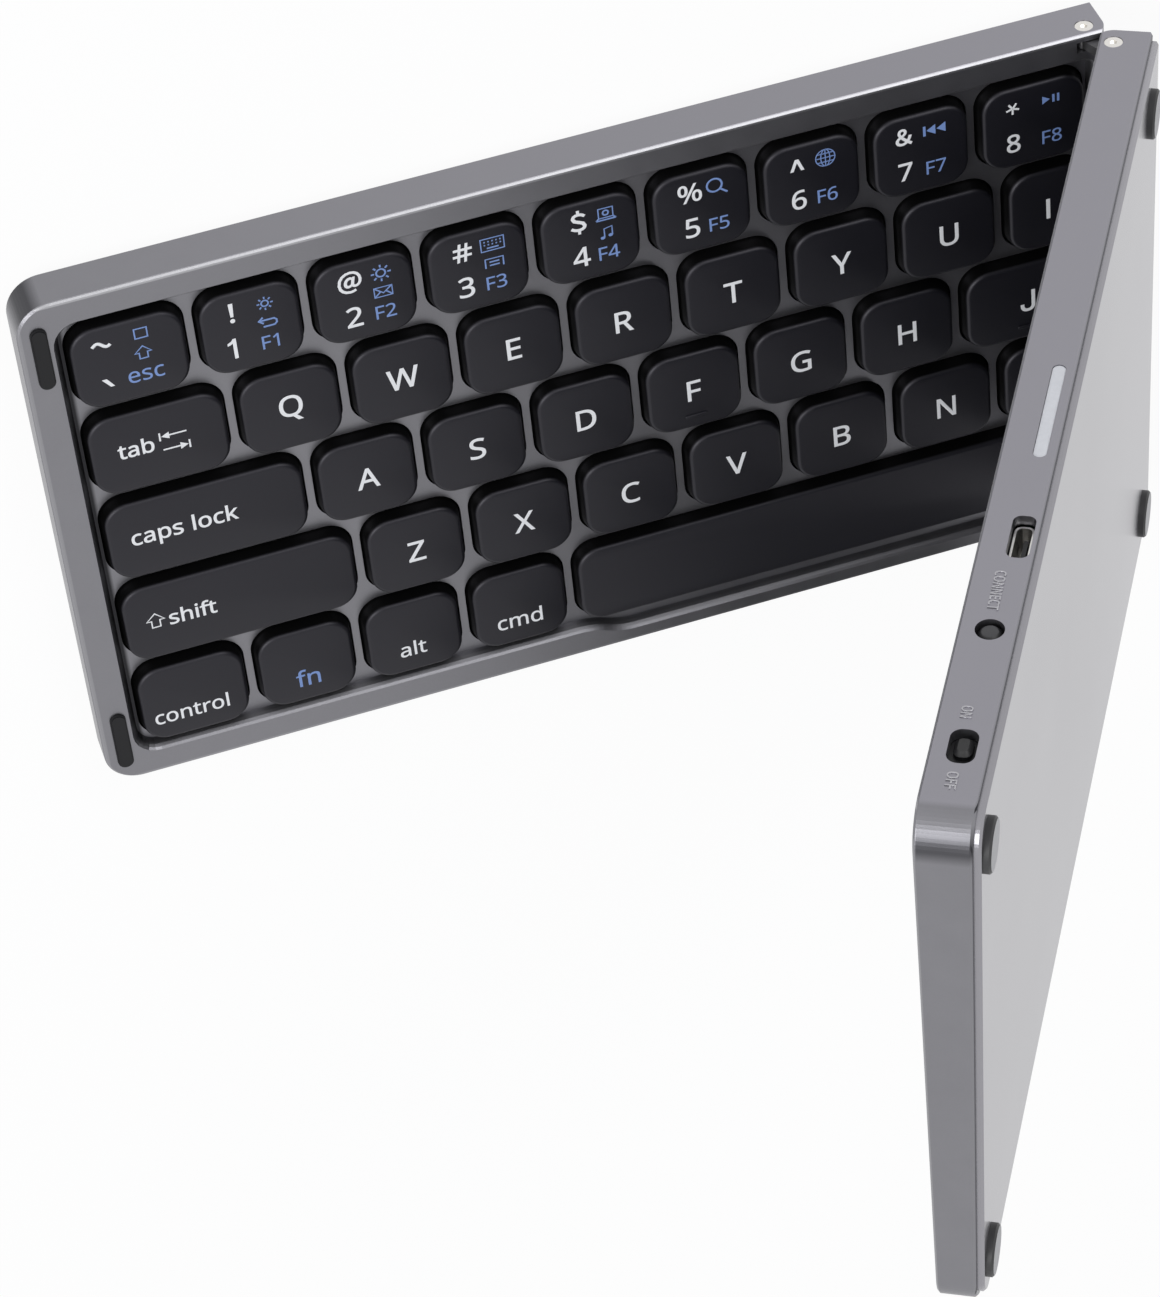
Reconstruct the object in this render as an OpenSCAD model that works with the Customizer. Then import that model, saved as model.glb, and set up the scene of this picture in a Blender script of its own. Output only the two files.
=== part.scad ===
// Folding keyboard: two keyed halves on a double-pin hinge, shown half folded.
// Each half is drawn in its own frame: x runs from the hinge end outwards, y from the
// front edge to the rear edge, and z up from the deck. The left half is mirrored and
// stands on its feet; the right half is swung over it on the two links.

/* [Case] */
// Length of one half, hinge end to outer end
half_len = 165.3; // [155:0.1:190]
// Depth of a half, front edge to rear edge
half_depth = 93; // [85:0.5:110]
// Case thickness at the rear edge, without the cover
rear_t = 7.6; // [7.4:0.1:10]
// Case thickness at the front edge, without the cover
front_t = 5.35; // [5.35:0.05:7]
// Radius of the two outer corners, seen from above
corner_r = 5.5; // [3:0.5:7]
// Thickness of the case's side walls
wall_t = 1.6; // [1.2:0.1:2]
// Thickness of the web between the keys
web_t = 1.0; // [0.8:0.1:1.2]
// Chamfer along the case's outer edges
edge_chamfer = 0.35; // [0.2:0.05:0.5]
// Thickness of the bottom cover
cover_t = 1.0; // [0.8:0.1:1.5]
// Step from the case's side to the cover's side
cover_inset = 0.9; // [0.6:0.1:1.2]

/* [Key well] */
// Depth of the sunk floor between the keys
well_depth = 2.0; // [1.8:0.1:2.2]
// Plan width of the slope from rim to floor
slope_w = 1.0; // [0.6:0.1:1.2]
// Rim between the rear edge and the slope
rim_rear = 4.25; // [4.2:0.05:5]
// Rim between the front edge and the slope
rim_front = 4.35; // [4.2:0.05:5]
// Rim between the outer end and the slope
rim_outer = 4.9; // [4.5:0.1:6]
// Rim between the hinge end and the slope
rim_hinge = 1.9; // [1.8:0.1:2.1]
// Corner radius of the well at the rim
well_r = 4.0; // [3:0.5:5]
// Outer end of the thumb scoop, from the hinge end
scoop_end = 80; // [60:1:90]
// Hinge end of the thumb scoop
scoop_start = 7; // [7:1:20]
// Radius of the bends at the outer end of the thumb scoop
scoop_r = 11; // [6:1:14]
// Lip left in front of the thumb scoop
scoop_lip = 2.4; // [2.2:0.1:3]

/* [Keys] */
// Gap between neighbouring keys
key_gap = 1.45; // [1.3:0.05:1.8]
// Floor left between the slope's foot and the first keys
key_margin = 0.6; // [0.5:0.1:0.7]
// Height of the key tops over the deck
key_proud = 0.3; // [0.1:0.1:0.4]
// Travel of a key
key_travel = 1.2; // [1:0.1:1.2]
// Lean of a key's side from foot to top
key_draft = 0.45; // [0.3:0.05:0.6]
// Corner radius of a key at its foot
key_r = 3.9; // [3:0.1:4.2]
// Gap between a key's foot and its opening
key_clear = 0.15; // [0.1:0.05:0.2]
// Wall and top of a key
key_wall = 1.0; // [0.8:0.1:1.2]

/* [Touchpad] */
// Bridge between the right half's key well and the touchpad
touchpad_bridge = 4.4; // [4:0.1:10]
// Rim in front of and behind the touchpad
touchpad_rim = 8.5; // [8:0.1:16]
// Thickness of the touchpad's plate
touchpad_t = 0.9; // [0.7:0.1:1]
// Corner radius of the touchpad
touchpad_r = 3; // [2:0.5:4]

/* [Hinge] */
// Angle from the open, flat keyboard to the pose that is drawn
fold_angle = 120; // [90:1:150]
// Angle of the links from the open, flat keyboard to the pose that is drawn
link_angle = 66; // [45:1:75]
// Distance of a pin's axis from the half's hinge end
pin_inset = 2.9; // [2.8:0.1:3]
// Depth of a pin's axis under the deck
pin_depth = 2.2; // [2.1:0.1:2.3]
// Gap between the halves when open flat
flat_gap = 0.2; // [0.2:0.1:0.6]
// Radius of a hinge pin
pin_r = 0.75; // [0.6:0.05:0.8]
// Radius of a pin's head
pin_head_r = 1.35; // [1.2:0.05:1.5]
// Thickness of a pin's head
pin_head_t = 0.5; // [0.4:0.1:0.6]
// Radial clearance of a pin in its link
pin_clear = 0.04; // [0.02:0.01:0.08]
// Half the width of a link
link_r = 1.85; // [1.6:0.05:1.95]
// Thickness of a link
link_t = 1.5; // [1.2:0.1:1.5]
// Case wall outside a link
link_wall = 1.2; // [1.2:0.1:1.3]
// Gap on each side of a link
link_gap = 0.15; // [0.1:0.05:0.15]

/* [Feet and bumpers] */
// Radius of a foot
foot_r = 3.7; // [3:0.1:5]
// Thickness of a foot
foot_t = 1.1; // [0.8:0.1:2]
// Foot centre from the outer end
foot_outer = 5.2; // [5:0.1:12]
// Foot centre from the hinge end
foot_hinge = 9.5; // [7:0.5:20]
// Foot centre from the front and the rear edge
foot_edge = 7.6; // [6:0.1:12]
// Length of a deck bumper
bumper_len = 10.8; // [8:0.1:12]
// Width of a deck bumper
bumper_w = 2.4; // [2:0.1:3]
// Height of the left half's bumpers over the deck; the right half's lie flush
bumper_proud = 0.55; // [0.3:0.05:0.6]

/* [Rear wall] */
// Charging socket's centre from the outer end
usb_end = 53.8; // [50:0.1:56]
// Width of the charging socket's opening
usb_w = 8.2; // [8.1:0.1:9]
// Height of the charging socket's opening
usb_h = 3.1; // [3:0.1:3.4]
// Light window's centre from the outer end
led_end = 79.3; // [72:0.1:84]
// Length of the light window
led_len = 19.2; // [12:0.1:20]
// Height of the light window
led_h = 1.9; // [1.8:0.1:2.4]
// Connect button's centre from the outer end
connect_end = 35.8; // [32:0.1:40]
// Radius of the connect button
connect_r = 1.7; // [1.6:0.1:2.1]
// Travel of the connect button
connect_travel = 0.5; // [0.3:0.1:0.6]
// Power slot's centre from the outer end
power_end = 14.3; // [13:0.1:19]
// Length of the power slot
power_len = 6.1; // [6:0.1:7]
// Height of the power slot
power_h = 3.7; // [3.5:0.1:4.5]
// Length of the power knob
power_knob_len = 3.4; // [3:0.1:4]
// Travel of the power knob
power_travel = 1.5; // [1.2:0.1:1.6]

/* [Inside] */
// Thickness of the switch boards
board_t = 0.6; // [0.5:0.1:0.6]
// Thickness of the dome sheets
sheet_t = 0.25; // [0.2:0.05:0.3]
// Height of a rubber dome
dome_h = 2.1; // [1.8:0.1:2.1]
// Length of the battery
battery_len = 44; // [36:1:46]
// Depth of the battery
battery_depth = 52; // [40:1:56]
// Thickness of the battery
battery_t = 2.4; // [2:0.1:2.5]
// Thickness of the main board
main_t = 0.8; // [0.6:0.1:0.8]

/* [Hidden] */

// Rows are [first cell in pitches, cells of one pitch]; the last key fills the rest.
left_rows = [[1.117, 7], [1.337, 7], [1.906, 6], [2.24, 6], [1.109, 3]];
right_rows = [[1, 3], [1.226, 3], [0.792, 3], [1.132, 3], [1.804, 3]];
row_count = 5;
// Length of the left and of the right key block, in pitches
left_row_len = 9.19355;
right_row_len = 5.8856;
// Small overshoot that keeps a cut clear of the face it leaves
cut = 1;
// Gap between pieces of one body that lie beside each other
seat_gap = 0.1;
// The key blocks, measured at the keys' feet; the key pitch follows from the halves' size
block_hinge = rim_hinge + slope_w + key_margin;
block_front = rim_front + slope_w + key_margin;
block_rear = half_depth - rim_rear - slope_w - key_margin;
left_block_end = half_len - rim_outer - slope_w - key_margin;
pitch_x = (left_block_end - block_hinge + key_gap) / left_row_len;
pitch_y = (block_rear - block_front + key_gap) / row_count;
right_block_end = block_hinge + right_row_len * pitch_x - key_gap;
// Lean of the bottom against the deck
wedge = atan((rear_t - front_t) / half_depth);
// Length of the bottom along its own plane
bottom_depth = half_depth / cos(wedge);
// Distance between the two pins of a link
link_len = 2 * pin_inset + flat_gap;
// Underside of the web, where the cavity starts
ceiling_z = -well_depth - web_t;
// Key feet lie flush with the underside of the web
key_foot_z = ceiling_z;
// Top of the dome sheet, just clear of a pressed key
sheet_z = key_foot_z - key_travel - seat_gap;
board_z = sheet_z - sheet_t;
key_depth = pitch_y - key_gap;
// Pocket that a link swings in
link_pocket_y = link_wall + 2 * link_gap + link_t;
link_pocket_r = link_r + 0.15;
hinge_block_x = pin_inset + link_pocket_r + 1.2;
hinge_block_y = rim_front + slope_w;
pin_end_y = rim_rear - 0.2;
// Strip of flex in the middle of the hinge
flex_w = 8;
flex_t = 0.2;
flex_clear = 0.15;
// Case screws and their bosses
boss_r = 1.4;
boss_edge = 3.6;
screw_r = 0.6;
screw_head_r = 1.1;
screw_head_t = 0.45;
screw_len = 1.9;
stake_r = 0.5;
fit_gap = 0.05;
boss_start = 20;
boss_left_end = 25.3;
boss_right_end = 4.4;
function boss_row(end, n) = [for (i = [0:n - 1]) boss_start + i * (end - boss_start) / (n - 1)];
left_boss_x = boss_row(half_len - boss_left_end, 4);
right_boss_x = boss_row(right_block_end - boss_right_end, 3);
// Places along the rear wall, from the hinge end
usb_x = half_len - usb_end;
led_x = half_len - led_end;
connect_x = half_len - connect_end;
power_x = half_len - power_end;
// Centre height of the features in the rear wall
usb_z = -5.4;
led_z = -5.3;
button_z = -4.15;
// Rest place of the power knob, at its on end
power_rest = -0.75;
// Hole behind the connect button's flange
flange_r = connect_r + 0.5;
flange_t = 0.7;
button_gap = 0.25;
switch_bay_y = 7.2;
flange_bay_y = 4;
bay_drop = 1;
// Width and height of the two switches, and of the bays round them
connect_body = [4.2, 2.6];
connect_bay = [6.8, 2.6];
power_body = [9, 2.7];
power_bay = [10.4, 3.3];
switch_tip_r = 1;
switch_tip_len = 0.8;
switch_depth = 2.7;
// Lights behind the window, and the window's flange
light_size = [1.6, 0.9];
light_depth = 0.8;
window_flange = [1.6, 1];
window_t = 0.7;
// Tongue of the charging socket
tongue_size = [3.7, 0.6];
// Plate of the power knob, which always covers its slot
power_plate_len = power_len + power_travel + 0.9;
power_plate_h = power_h + 0.6;
// Main board along the rear wall of the right half
main_z = button_z - 1.45;
main_depth = 15;

// Where the right half's pin lies, from the left half's hinge end
right_pin_x = -pin_inset + link_len * cos(link_angle);
right_pin_z = -pin_depth + link_len * sin(link_angle);

// Reach of both halves in x and in y, for the origin of the part
case_rear_z = rear_t - edge_chamfer;
cover_rear_z = case_rear_z + cover_t - cover_inset * tan(wedge);
right_reach_x = right_pin_x + (cover_inset - pin_inset) * cos(fold_angle)
  + (cover_rear_z - pin_depth) * sin(fold_angle);
right_top_z = right_pin_z + (half_len - corner_r - pin_inset) * sin(fold_angle)
  - (front_t - edge_chamfer - pin_depth) * cos(fold_angle);
front_reach_y = -(right_top_z + front_t) * sin(wedge);
rear_reach_y = half_depth * cos(wedge) + (case_rear_z - front_t) * sin(wedge);
origin_x = (right_reach_x - half_len) / 2;
origin_y = (front_reach_y + rear_reach_y) / 2;

// Colours
case_grey = [0.50, 0.50, 0.52];
cover_grey = [0.76, 0.76, 0.78];
key_black = [0.10, 0.10, 0.11];
rubber_black = [0.14, 0.14, 0.15];
steel = [0.80, 0.79, 0.76];
board_green = [0.08, 0.28, 0.18];
copper = [0.75, 0.48, 0.25];
window_white = [0.85, 0.88, 0.92];

// ---------- placing ----------

// Tilts a half onto its flat bottom and moves the part to its origin.
module on_desk() {
  translate([-origin_x, -origin_y, cover_t + foot_t])
    rotate([wedge, 0, 0]) translate([0, 0, front_t]) children();
}

module left_half() { on_desk() mirror([1, 0, 0]) children(); }

module right_half() {
  on_desk() translate([right_pin_x, 0, right_pin_z])
    rotate([0, -fold_angle, 0]) translate([-pin_inset, 0, pin_depth]) children();
}

// Frame of a link: its first pin at the origin, its second along +x.
module on_link() {
  on_desk() translate([-pin_inset, 0, -pin_depth]) rotate([0, -link_angle, 0]) children();
}

// Frame whose z = 0 is the case's leaning bottom face.
module under_case() { translate([0, 0, -front_t]) rotate([-wedge, 0, 0]) children(); }

// ---------- outlines ----------

function arc(c, r, a0, a1, n) =
  [for (i = [0:n]) let (a = a0 + (a1 - a0) * i / n) [c[0] + r * cos(a), c[1] + r * sin(a)]];

corner_steps = 16;

// Depth of the case at a distance y from the front edge
function case_depth(y) = front_t + (rear_t - front_t) * y / half_depth;

// Plan of a half, drawn in by g all round
function half_outline(g, depth) = concat(
  [[g, g]],
  arc([half_len - corner_r, corner_r], corner_r - g, -90, 0, corner_steps),
  arc([half_len - corner_r, depth - corner_r], corner_r - g, 0, 90, corner_steps),
  [[g, depth - g]]);

// Plan of the key well: x0 and x1 are its ends at the rim, and g draws it in. Its front
// edge steps forward to the thumb scoop's lip in an S-bend at each end of the scoop.
function bend_angle(r) = acos(1 - (rim_front - scoop_lip) / (2 * r));
function bend_len(r) = 2 * r * sin(bend_angle(r));
function well_outline(x0, x1, g) =
  let (f = rim_front, r = well_r, q = scoop_r, a = bend_angle(r), b = bend_angle(q))
  concat(
    [[x0 + g, f + g]],
    arc([scoop_start, f - r], r + g, 90, 90 - a, 4),
    arc([scoop_start + bend_len(r), scoop_lip + r], r - g, -90 - a, -90, 4),
    arc([scoop_end, scoop_lip + q], q - g, -90, -90 + b, 6),
    arc([scoop_end + bend_len(q), f - q], q + g, 90 + b, 90, 6),
    arc([x1 - r, f + r], r - g, -90, 0, 6),
    arc([x1 - r, half_depth - rim_rear - r], r - g, 0, 90, 6),
    arc([x0 + 2, half_depth - rim_rear - 2], 2 - g, 90, 180, 4));

// Skins a stack of rings with equal numbers of points.
module loft(rings) {
  n = len(rings[0]);
  m = len(rings);
  points = [for (r = rings) each r];
  sides = [for (k = [0:m - 2], i = [0:n - 1])
    let (a = k * n + i, b = k * n + (i + 1) % n)
    each [[a, a + n, b], [b, a + n, b + n]]];
  bottom = [[for (i = [0:n - 1]) i]];
  top = [[for (i = [n - 1:-1:0]) (m - 1) * n + i]];
  polyhedron(points = points, faces = concat(bottom, sides, top));
}

function at_z(outline, z) = [for (p = outline) [p[0], p[1], z]];

// Rounded rectangle with its first corner at the origin
module rounded(w, d, r) {
  translate([r, 0]) square([w - 2 * r, d]);
  translate([0, r]) square([w, d - 2 * r]);
  for (x = [r, w - r], y = [r, d - r]) translate([x, y]) circle(r, $fn = 48);
}

// Bar with round ends, centred, long side along x
module pill(len, w) {
  square([len - w, w], center = true);
  for (x = [-1, 1]) translate([x * (len - w) / 2, 0]) circle(w / 2, $fn = 48);
}

// Draws in the plane of the rear wall: x along the half, y up, extruded from
// depth d0 to depth d1 inside the rear edge.
module rear_feature(x, z, d0, d1) {
  translate([x, half_depth - d0, z]) rotate([90, 0, 0]) linear_extrude(d1 - d0) children();
}

// ---------- case ----------

// Outer block of a half: chamfered edges, round outer corners and a leaning bottom.
module half_block() {
  c = edge_chamfer;
  plain = half_outline(0, half_depth);
  inner = half_outline(c, half_depth);
  loft([
    [for (p = inner) [p[0], p[1], -case_depth(p[1])]],
    [for (p = plain) [p[0], p[1], c - case_depth(p[1])]],
    at_z(plain, -c),
    at_z(inner, 0)]);
}

// What rounds the deck's hinge edge about the pin.
module hinge_round_cut() {
  translate([0, half_depth + cut, 0]) rotate([90, 0, 0]) linear_extrude(half_depth + 2 * cut)
    difference() {
      translate([-cut, -pin_depth]) square([pin_inset + cut, pin_depth + cut]);
      translate([pin_inset, -pin_depth]) circle(pin_inset, $fn = 96);
    }
}

// The sunk floor with its curved slope.
module well_cut(x0, x1) {
  steps = 4;
  loft(concat(
    [for (i = [0:steps])
      let (a = 90 * i / steps, t = i / steps)
      at_z(well_outline(x0, x1, slope_w * (1 - (1 - cos(a) + t) / 2)),
        -well_depth * (1 - (sin(a) + t) / 2))],
    [at_z(well_outline(x0, x1, 0), cut)]));
}

// Cavity above the cover, with the hinge corners left solid.
module cavity(x0, x1) {
  difference() {
    translate([0, 0, -rear_t - cut]) linear_extrude(rear_t + cut + ceiling_z) difference() {
      translate([x0, wall_t])
        rounded(x1 - x0, half_depth - 2 * wall_t, corner_r - wall_t);
      for (y = [-cut, half_depth - hinge_block_y])
        translate([-cut, y]) square([hinge_block_x + cut, hinge_block_y + cut]);
    }
  }
}

// Space for one link and its swing, in the section across the hinge.
module link_pocket_section() {
  r = link_pocket_r;
  translate([pin_inset, -pin_depth]) circle(r, $fn = 48);
  translate([-cut, -pin_depth - r]) square([pin_inset + cut, pin_depth + r + cut]);
  translate([0, -pin_depth]) square([pin_inset + r, pin_depth + cut]);
}

module hinge_cuts() {
  pocket = link_t + 2 * link_gap;
  for (y = [link_wall + pocket, half_depth - link_wall])
    translate([0, y, 0]) rotate([90, 0, 0]) linear_extrude(pocket) link_pocket_section();
  // Bores and head seats of the pins
  for (end = [0, 1])
    translate([pin_inset, end * half_depth, -pin_depth]) rotate([end * 180 - 90, 0, 0]) {
      translate([0, 0, -cut]) cylinder(r = pin_r + pin_clear, h = pin_end_y + cut, $fn = 48);
      translate([0, 0, -cut])
        cylinder(r = pin_head_r + pin_clear, h = pin_head_t + cut + seat_gap, $fn = 48);
    }
  // Notch of the flex
  translate([0, (half_depth - flex_w) / 2 - flex_clear, 0]) {
    width = flex_w + 2 * flex_clear;
    translate([-cut, 0, -pin_depth - flex_clear])
      cube([pin_inset + flex_clear + cut, width, pin_depth + flex_clear + cut]);
  }
}

// Openings in the web for one half's keys
module key_openings(rows, block_end, from_hinge) {
  for (row = [0:row_count - 1], k = [0:len(row_cells(rows, block_end, row)) - 1])
    translate([key_start(rows, block_end, from_hinge, row, k) - key_clear,
      key_row_y(row) - key_clear, -well_depth - web_t - cut])
      linear_extrude(web_t + 2 * cut)
        rounded(key_width(rows, block_end, row, k) + 2 * key_clear,
          key_depth + 2 * key_clear, key_r + key_clear);
}

// Bosses that the switch board hangs from: rear ones take screws, front ones are stakes.
module board_bosses(xs) {
  for (x = xs) {
    translate([x, half_depth - boss_edge, board_z])
      cylinder(r = boss_r, h = ceiling_z - board_z + 0.2, $fn = 32);
    translate([x, boss_edge, board_z])
      cylinder(r = boss_r, h = ceiling_z - board_z + 0.2, $fn = 32);
    translate([x, boss_edge, board_z - board_t])
      cylinder(r = stake_r, h = board_t + 0.2, $fn = 32);
  }
}

module boss_holes(xs) {
  for (x = xs)
    translate([x, half_depth - boss_edge, board_z - seat_gap])
      cylinder(r = screw_r + fit_gap, h = screw_len - board_t + 2 * seat_gap, $fn = 32);
}

// Blind seats for the magnets, open to the cavity
magnet_len = 9;
magnet_w = 2.6;
magnet_h = 1.8;
magnet_x = half_len - wall_t - 0.3 - magnet_w;
magnet_ys = [half_depth * 0.3, half_depth * 0.7];
module magnet_seats() {
  for (y = magnet_ys)
    translate([magnet_x - fit_gap, y - magnet_len / 2 - fit_gap, ceiling_z - seat_gap])
      cube([magnet_w + 2 * fit_gap, magnet_len + 2 * fit_gap, magnet_h + 2 * seat_gap]);
}

// Seats of the deck bumpers
bumper_seat = 0.6;
bumper_edge = 3.1;
bumper_front = 8.4;
bumper_rear = 9.2;
bumper_x = half_len - bumper_edge;
bumper_ys = [bumper_front, half_depth - bumper_rear];
module bumper_plan(grow) {
  for (y = bumper_ys)
    translate([bumper_x, y]) rotate(90) pill(bumper_len + 2 * grow, bumper_w + 2 * grow);
}
module bumper_seats() {
  translate([0, 0, -bumper_seat]) linear_extrude(bumper_seat + cut) bumper_plan(fit_gap);
}

module left_case() {
  color(case_grey) left_half() {
    difference() {
      half_block();
      hinge_round_cut();
      well_cut(rim_hinge, half_len - rim_outer);
      cavity(wall_t, half_len - wall_t);
      hinge_cuts();
      key_openings(left_rows, left_block_end, false);
      magnet_seats();
      bumper_seats();
      boss_holes(left_boss_x);
    }
    difference() {
      board_bosses(left_boss_x);
      boss_holes(left_boss_x);
    }
  }
}

// Opening and ledge of the touchpad
touchpad_x = right_block_end + key_margin + slope_w + touchpad_bridge;
touchpad_len = half_len - rim_outer - touchpad_x;
touchpad_y = touchpad_rim;
touchpad_depth = half_depth - 2 * touchpad_rim;
touchpad_ledge = 2;
touchpad_sink = 0.1;
module touchpad_cuts() {
  g = seat_gap;
  translate([touchpad_x - g, touchpad_y - g, -touchpad_t - touchpad_sink])
    linear_extrude(touchpad_t + touchpad_sink + cut)
      rounded(touchpad_len + 2 * g, touchpad_depth + 2 * g, touchpad_r + g);
  translate([touchpad_x + touchpad_ledge, touchpad_y + touchpad_ledge, ceiling_z - cut])
    cube([touchpad_len - 2 * touchpad_ledge, touchpad_depth - 2 * touchpad_ledge,
      -ceiling_z + 2 * cut]);
}

module rear_wall_cuts() {
  rear_feature(usb_x, usb_z, -cut, wall_t + cut) translate([-usb_w / 2, -usb_h / 2])
    rounded(usb_w, usb_h, usb_h * 0.38);
  rear_feature(led_x, led_z, -cut, wall_t + cut) pill(led_len, led_h);
  rear_feature(connect_x, button_z, -cut, wall_t + cut)
    circle(connect_r + button_gap, $fn = 48);
  rear_feature(connect_x, button_z, wall_t, flange_bay_y + connect_r / 2)
    circle(flange_r + button_gap, $fn = 48);
  rear_feature(power_x, button_z, -cut, wall_t + cut) translate([-power_len / 2, -power_h / 2])
    rounded(power_len, power_h, power_h * 0.42);
  rear_feature(power_x, button_z, wall_t, wall_t + 0.8)
    square([power_plate_len + power_travel + 2 * seat_gap, power_plate_h + 2 * seat_gap],
      center = true);
  // Bays for the two switches, cut up into the rim
  for (bay = [[connect_x, connect_bay, switch_bay_y - flange_bay_y],
      [power_x, power_bay, switch_bay_y - wall_t]])
    translate([bay[0] - bay[1][0] / 2, half_depth - switch_bay_y, button_z - bay_drop])
      cube([bay[1][0], bay[2], bay[1][1]]);
}

module right_case() {
  color(case_grey) right_half() {
    difference() {
      half_block();
      hinge_round_cut();
      well_cut(rim_hinge, right_block_end + key_margin + slope_w);
      cavity(wall_t, half_len - wall_t);
      hinge_cuts();
      key_openings(right_rows, right_block_end, true);
      touchpad_cuts();
      magnet_seats();
      bumper_seats();
      rear_wall_cuts();
      boss_holes(right_boss_x);
      main_boss_holes();
    }
    difference() {
      board_bosses(right_boss_x);
      boss_holes(right_boss_x);
    }
    difference() {
      main_bosses();
      main_boss_holes();
    }
  }
}

// ---------- bottom cover, feet, bumpers and magnets ----------

module bottom_cover() {
  c = edge_chamfer;
  under_case() translate([0, 0, -cover_t]) loft([
    at_z(half_outline(cover_inset + c, bottom_depth), 0),
    at_z(half_outline(cover_inset, bottom_depth), c),
    at_z(half_outline(cover_inset, bottom_depth), cover_t)]);
}

module feet() {
  c = 0.3;
  for (x = [foot_hinge, half_len - foot_outer], y = [foot_edge, bottom_depth - foot_edge])
    under_case() translate([x, y, -cover_t - foot_t]) {
      cylinder(r1 = foot_r - c, r2 = foot_r, h = c, $fn = 64);
      translate([0, 0, c]) cylinder(r = foot_r, h = foot_t - c, $fn = 64);
    }
}

module bumpers(proud) {
  h = bumper_seat + proud;
  edge = 0.2;
  translate([0, 0, -bumper_seat]) {
    linear_extrude(h - edge) bumper_plan(0);
    translate([0, 0, h - edge]) linear_extrude(edge) bumper_plan(-edge);
  }
}

module magnets() {
  for (y = magnet_ys)
    translate([magnet_x, y - magnet_len / 2, ceiling_z + seat_gap])
      cube([magnet_w, magnet_len, magnet_h]);
}

module left_bottom_cover() { color(cover_grey) left_half() bottom_cover(); }
module right_bottom_cover() { color(cover_grey) right_half() bottom_cover(); }
module left_feet() { color(rubber_black) left_half() feet(); }
module right_feet() { color(rubber_black) right_half() feet(); }
module left_bumpers() { color(rubber_black) left_half() bumpers(bumper_proud); }
module right_bumpers() { color(rubber_black) right_half() bumpers(0); }
module left_magnets() { color(steel) left_half() magnets(); }
module right_magnets() { color(steel) right_half() magnets(); }

// ---------- hinge ----------

module hinge_pins() {
  for (end = [0, 1])
    translate([pin_inset, end * half_depth, -pin_depth]) rotate([end * 180 - 90, 0, 0])
      difference() {
        union() {
          translate([0, 0, seat_gap]) cylinder(r = pin_head_r, h = pin_head_t, $fn = 48);
          translate([0, 0, seat_gap]) cylinder(r = pin_r, h = pin_end_y - 2 * seat_gap, $fn = 48);
        }
        // Hexagon socket of the head
        translate([0, 0, -cut]) cylinder(r = pin_head_r * 0.42, h = cut + seat_gap + 0.3, $fn = 6);
      }
}

module left_hinge_pins() { color(steel) left_half() hinge_pins(); }
module right_hinge_pins() { color(steel) right_half() hinge_pins(); }

// A link: two eyes joined by a waisted bar.
module hinge_link(y0) {
  on_link() translate([0, y0 + link_t, 0]) rotate([90, 0, 0]) linear_extrude(link_t)
    difference() {
      union() {
        for (x = [0, link_len]) translate([x, 0]) circle(link_r, $fn = 48);
        translate([0, -link_r * 0.8]) square([link_len, link_r * 1.6]);
      }
      for (x = [0, link_len]) translate([x, 0]) circle(pin_r + pin_clear, $fn = 48);
    }
}

module rear_hinge_link() {
  color(steel) hinge_link(half_depth - link_wall - link_gap - link_t);
}
module front_hinge_link() { color(steel) hinge_link(link_wall + link_gap); }

// Flat flex that carries the keys' lines from half to half, between the two pin axes
module hinge_flex_cable() {
  color(copper) on_link() translate([flex_clear, (half_depth - flex_w) / 2, -flex_t / 2])
    cube([link_len - 2 * flex_clear, flex_w, flex_t]);
}

// ---------- keys ----------

// Widths of the cells of a row; each cell is a key and one gap.
function row_cells(rows, block_end, row) =
  let (r = rows[row], block = block_end - block_hinge + key_gap)
  concat([r[0] * pitch_x], [for (i = [0:r[1] - 1]) pitch_x], [block - (r[0] + r[1]) * pitch_x]);
function sum_to(v, n) = n == 0 ? 0 : v[n - 1] + sum_to(v, n - 1);
function key_width(rows, block_end, row, k) = row_cells(rows, block_end, row)[k] - key_gap;
function key_row_y(row) = block_rear - row * pitch_y - key_depth;
// Where a key's hinge side lies. A left row starts at the outer end, a right row at the hinge.
function key_start(rows, block_end, from_hinge, row, k) =
  let (before = sum_to(row_cells(rows, block_end, row), k))
  from_hinge ? block_hinge + before
    : block_end - before - key_width(rows, block_end, row, k);

// Section of a key's rim, from the centre of its corner outwards
module key_section() {
  top = key_proud;
  bevel = 0.3;
  ceiling = top - key_wall;
  inner = key_r - key_wall;
  polygon([[0, ceiling], [inner, ceiling], [inner, key_foot_z], [key_r, key_foot_z],
    [key_r - key_draft, top - bevel], [key_r - key_draft - bevel, top], [0, top]]);
}

// A hollow key with leaning sides, round corners and a bevelled top
module key_cap(w, d) {
  r = key_r;
  for (c = [[r, r, 180], [w - r, r, 270], [w - r, d - r, 0], [r, d - r, 90]])
    translate([c[0], c[1], 0]) rotate([0, 0, c[2]])
      rotate_extrude(angle = 90, $fn = 48) key_section();
  for (side = [[r, 0, w - 2 * r], [w - r, 180, w - 2 * r]])
    translate([side[0], side[1] == 0 ? r : d - r, 0]) rotate([90, 0, 90 + side[1]])
      linear_extrude(side[2]) mirror([1, 0, 0]) key_section();
  for (side = [[w - r, 0], [r, 180]])
    translate([side[0], side[1] == 0 ? d - r : r, 0]) rotate([90, 0, side[1]])
      linear_extrude(d - 2 * r) key_section();
  translate([r, r, key_proud - key_wall]) cube([w - 2 * r, d - 2 * r, key_wall]);
}

module key(rows, block_end, from_hinge, row, k) {
  translate([key_start(rows, block_end, from_hinge, row, k), key_row_y(row), 0])
    key_cap(key_width(rows, block_end, row, k), key_depth);
}

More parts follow.
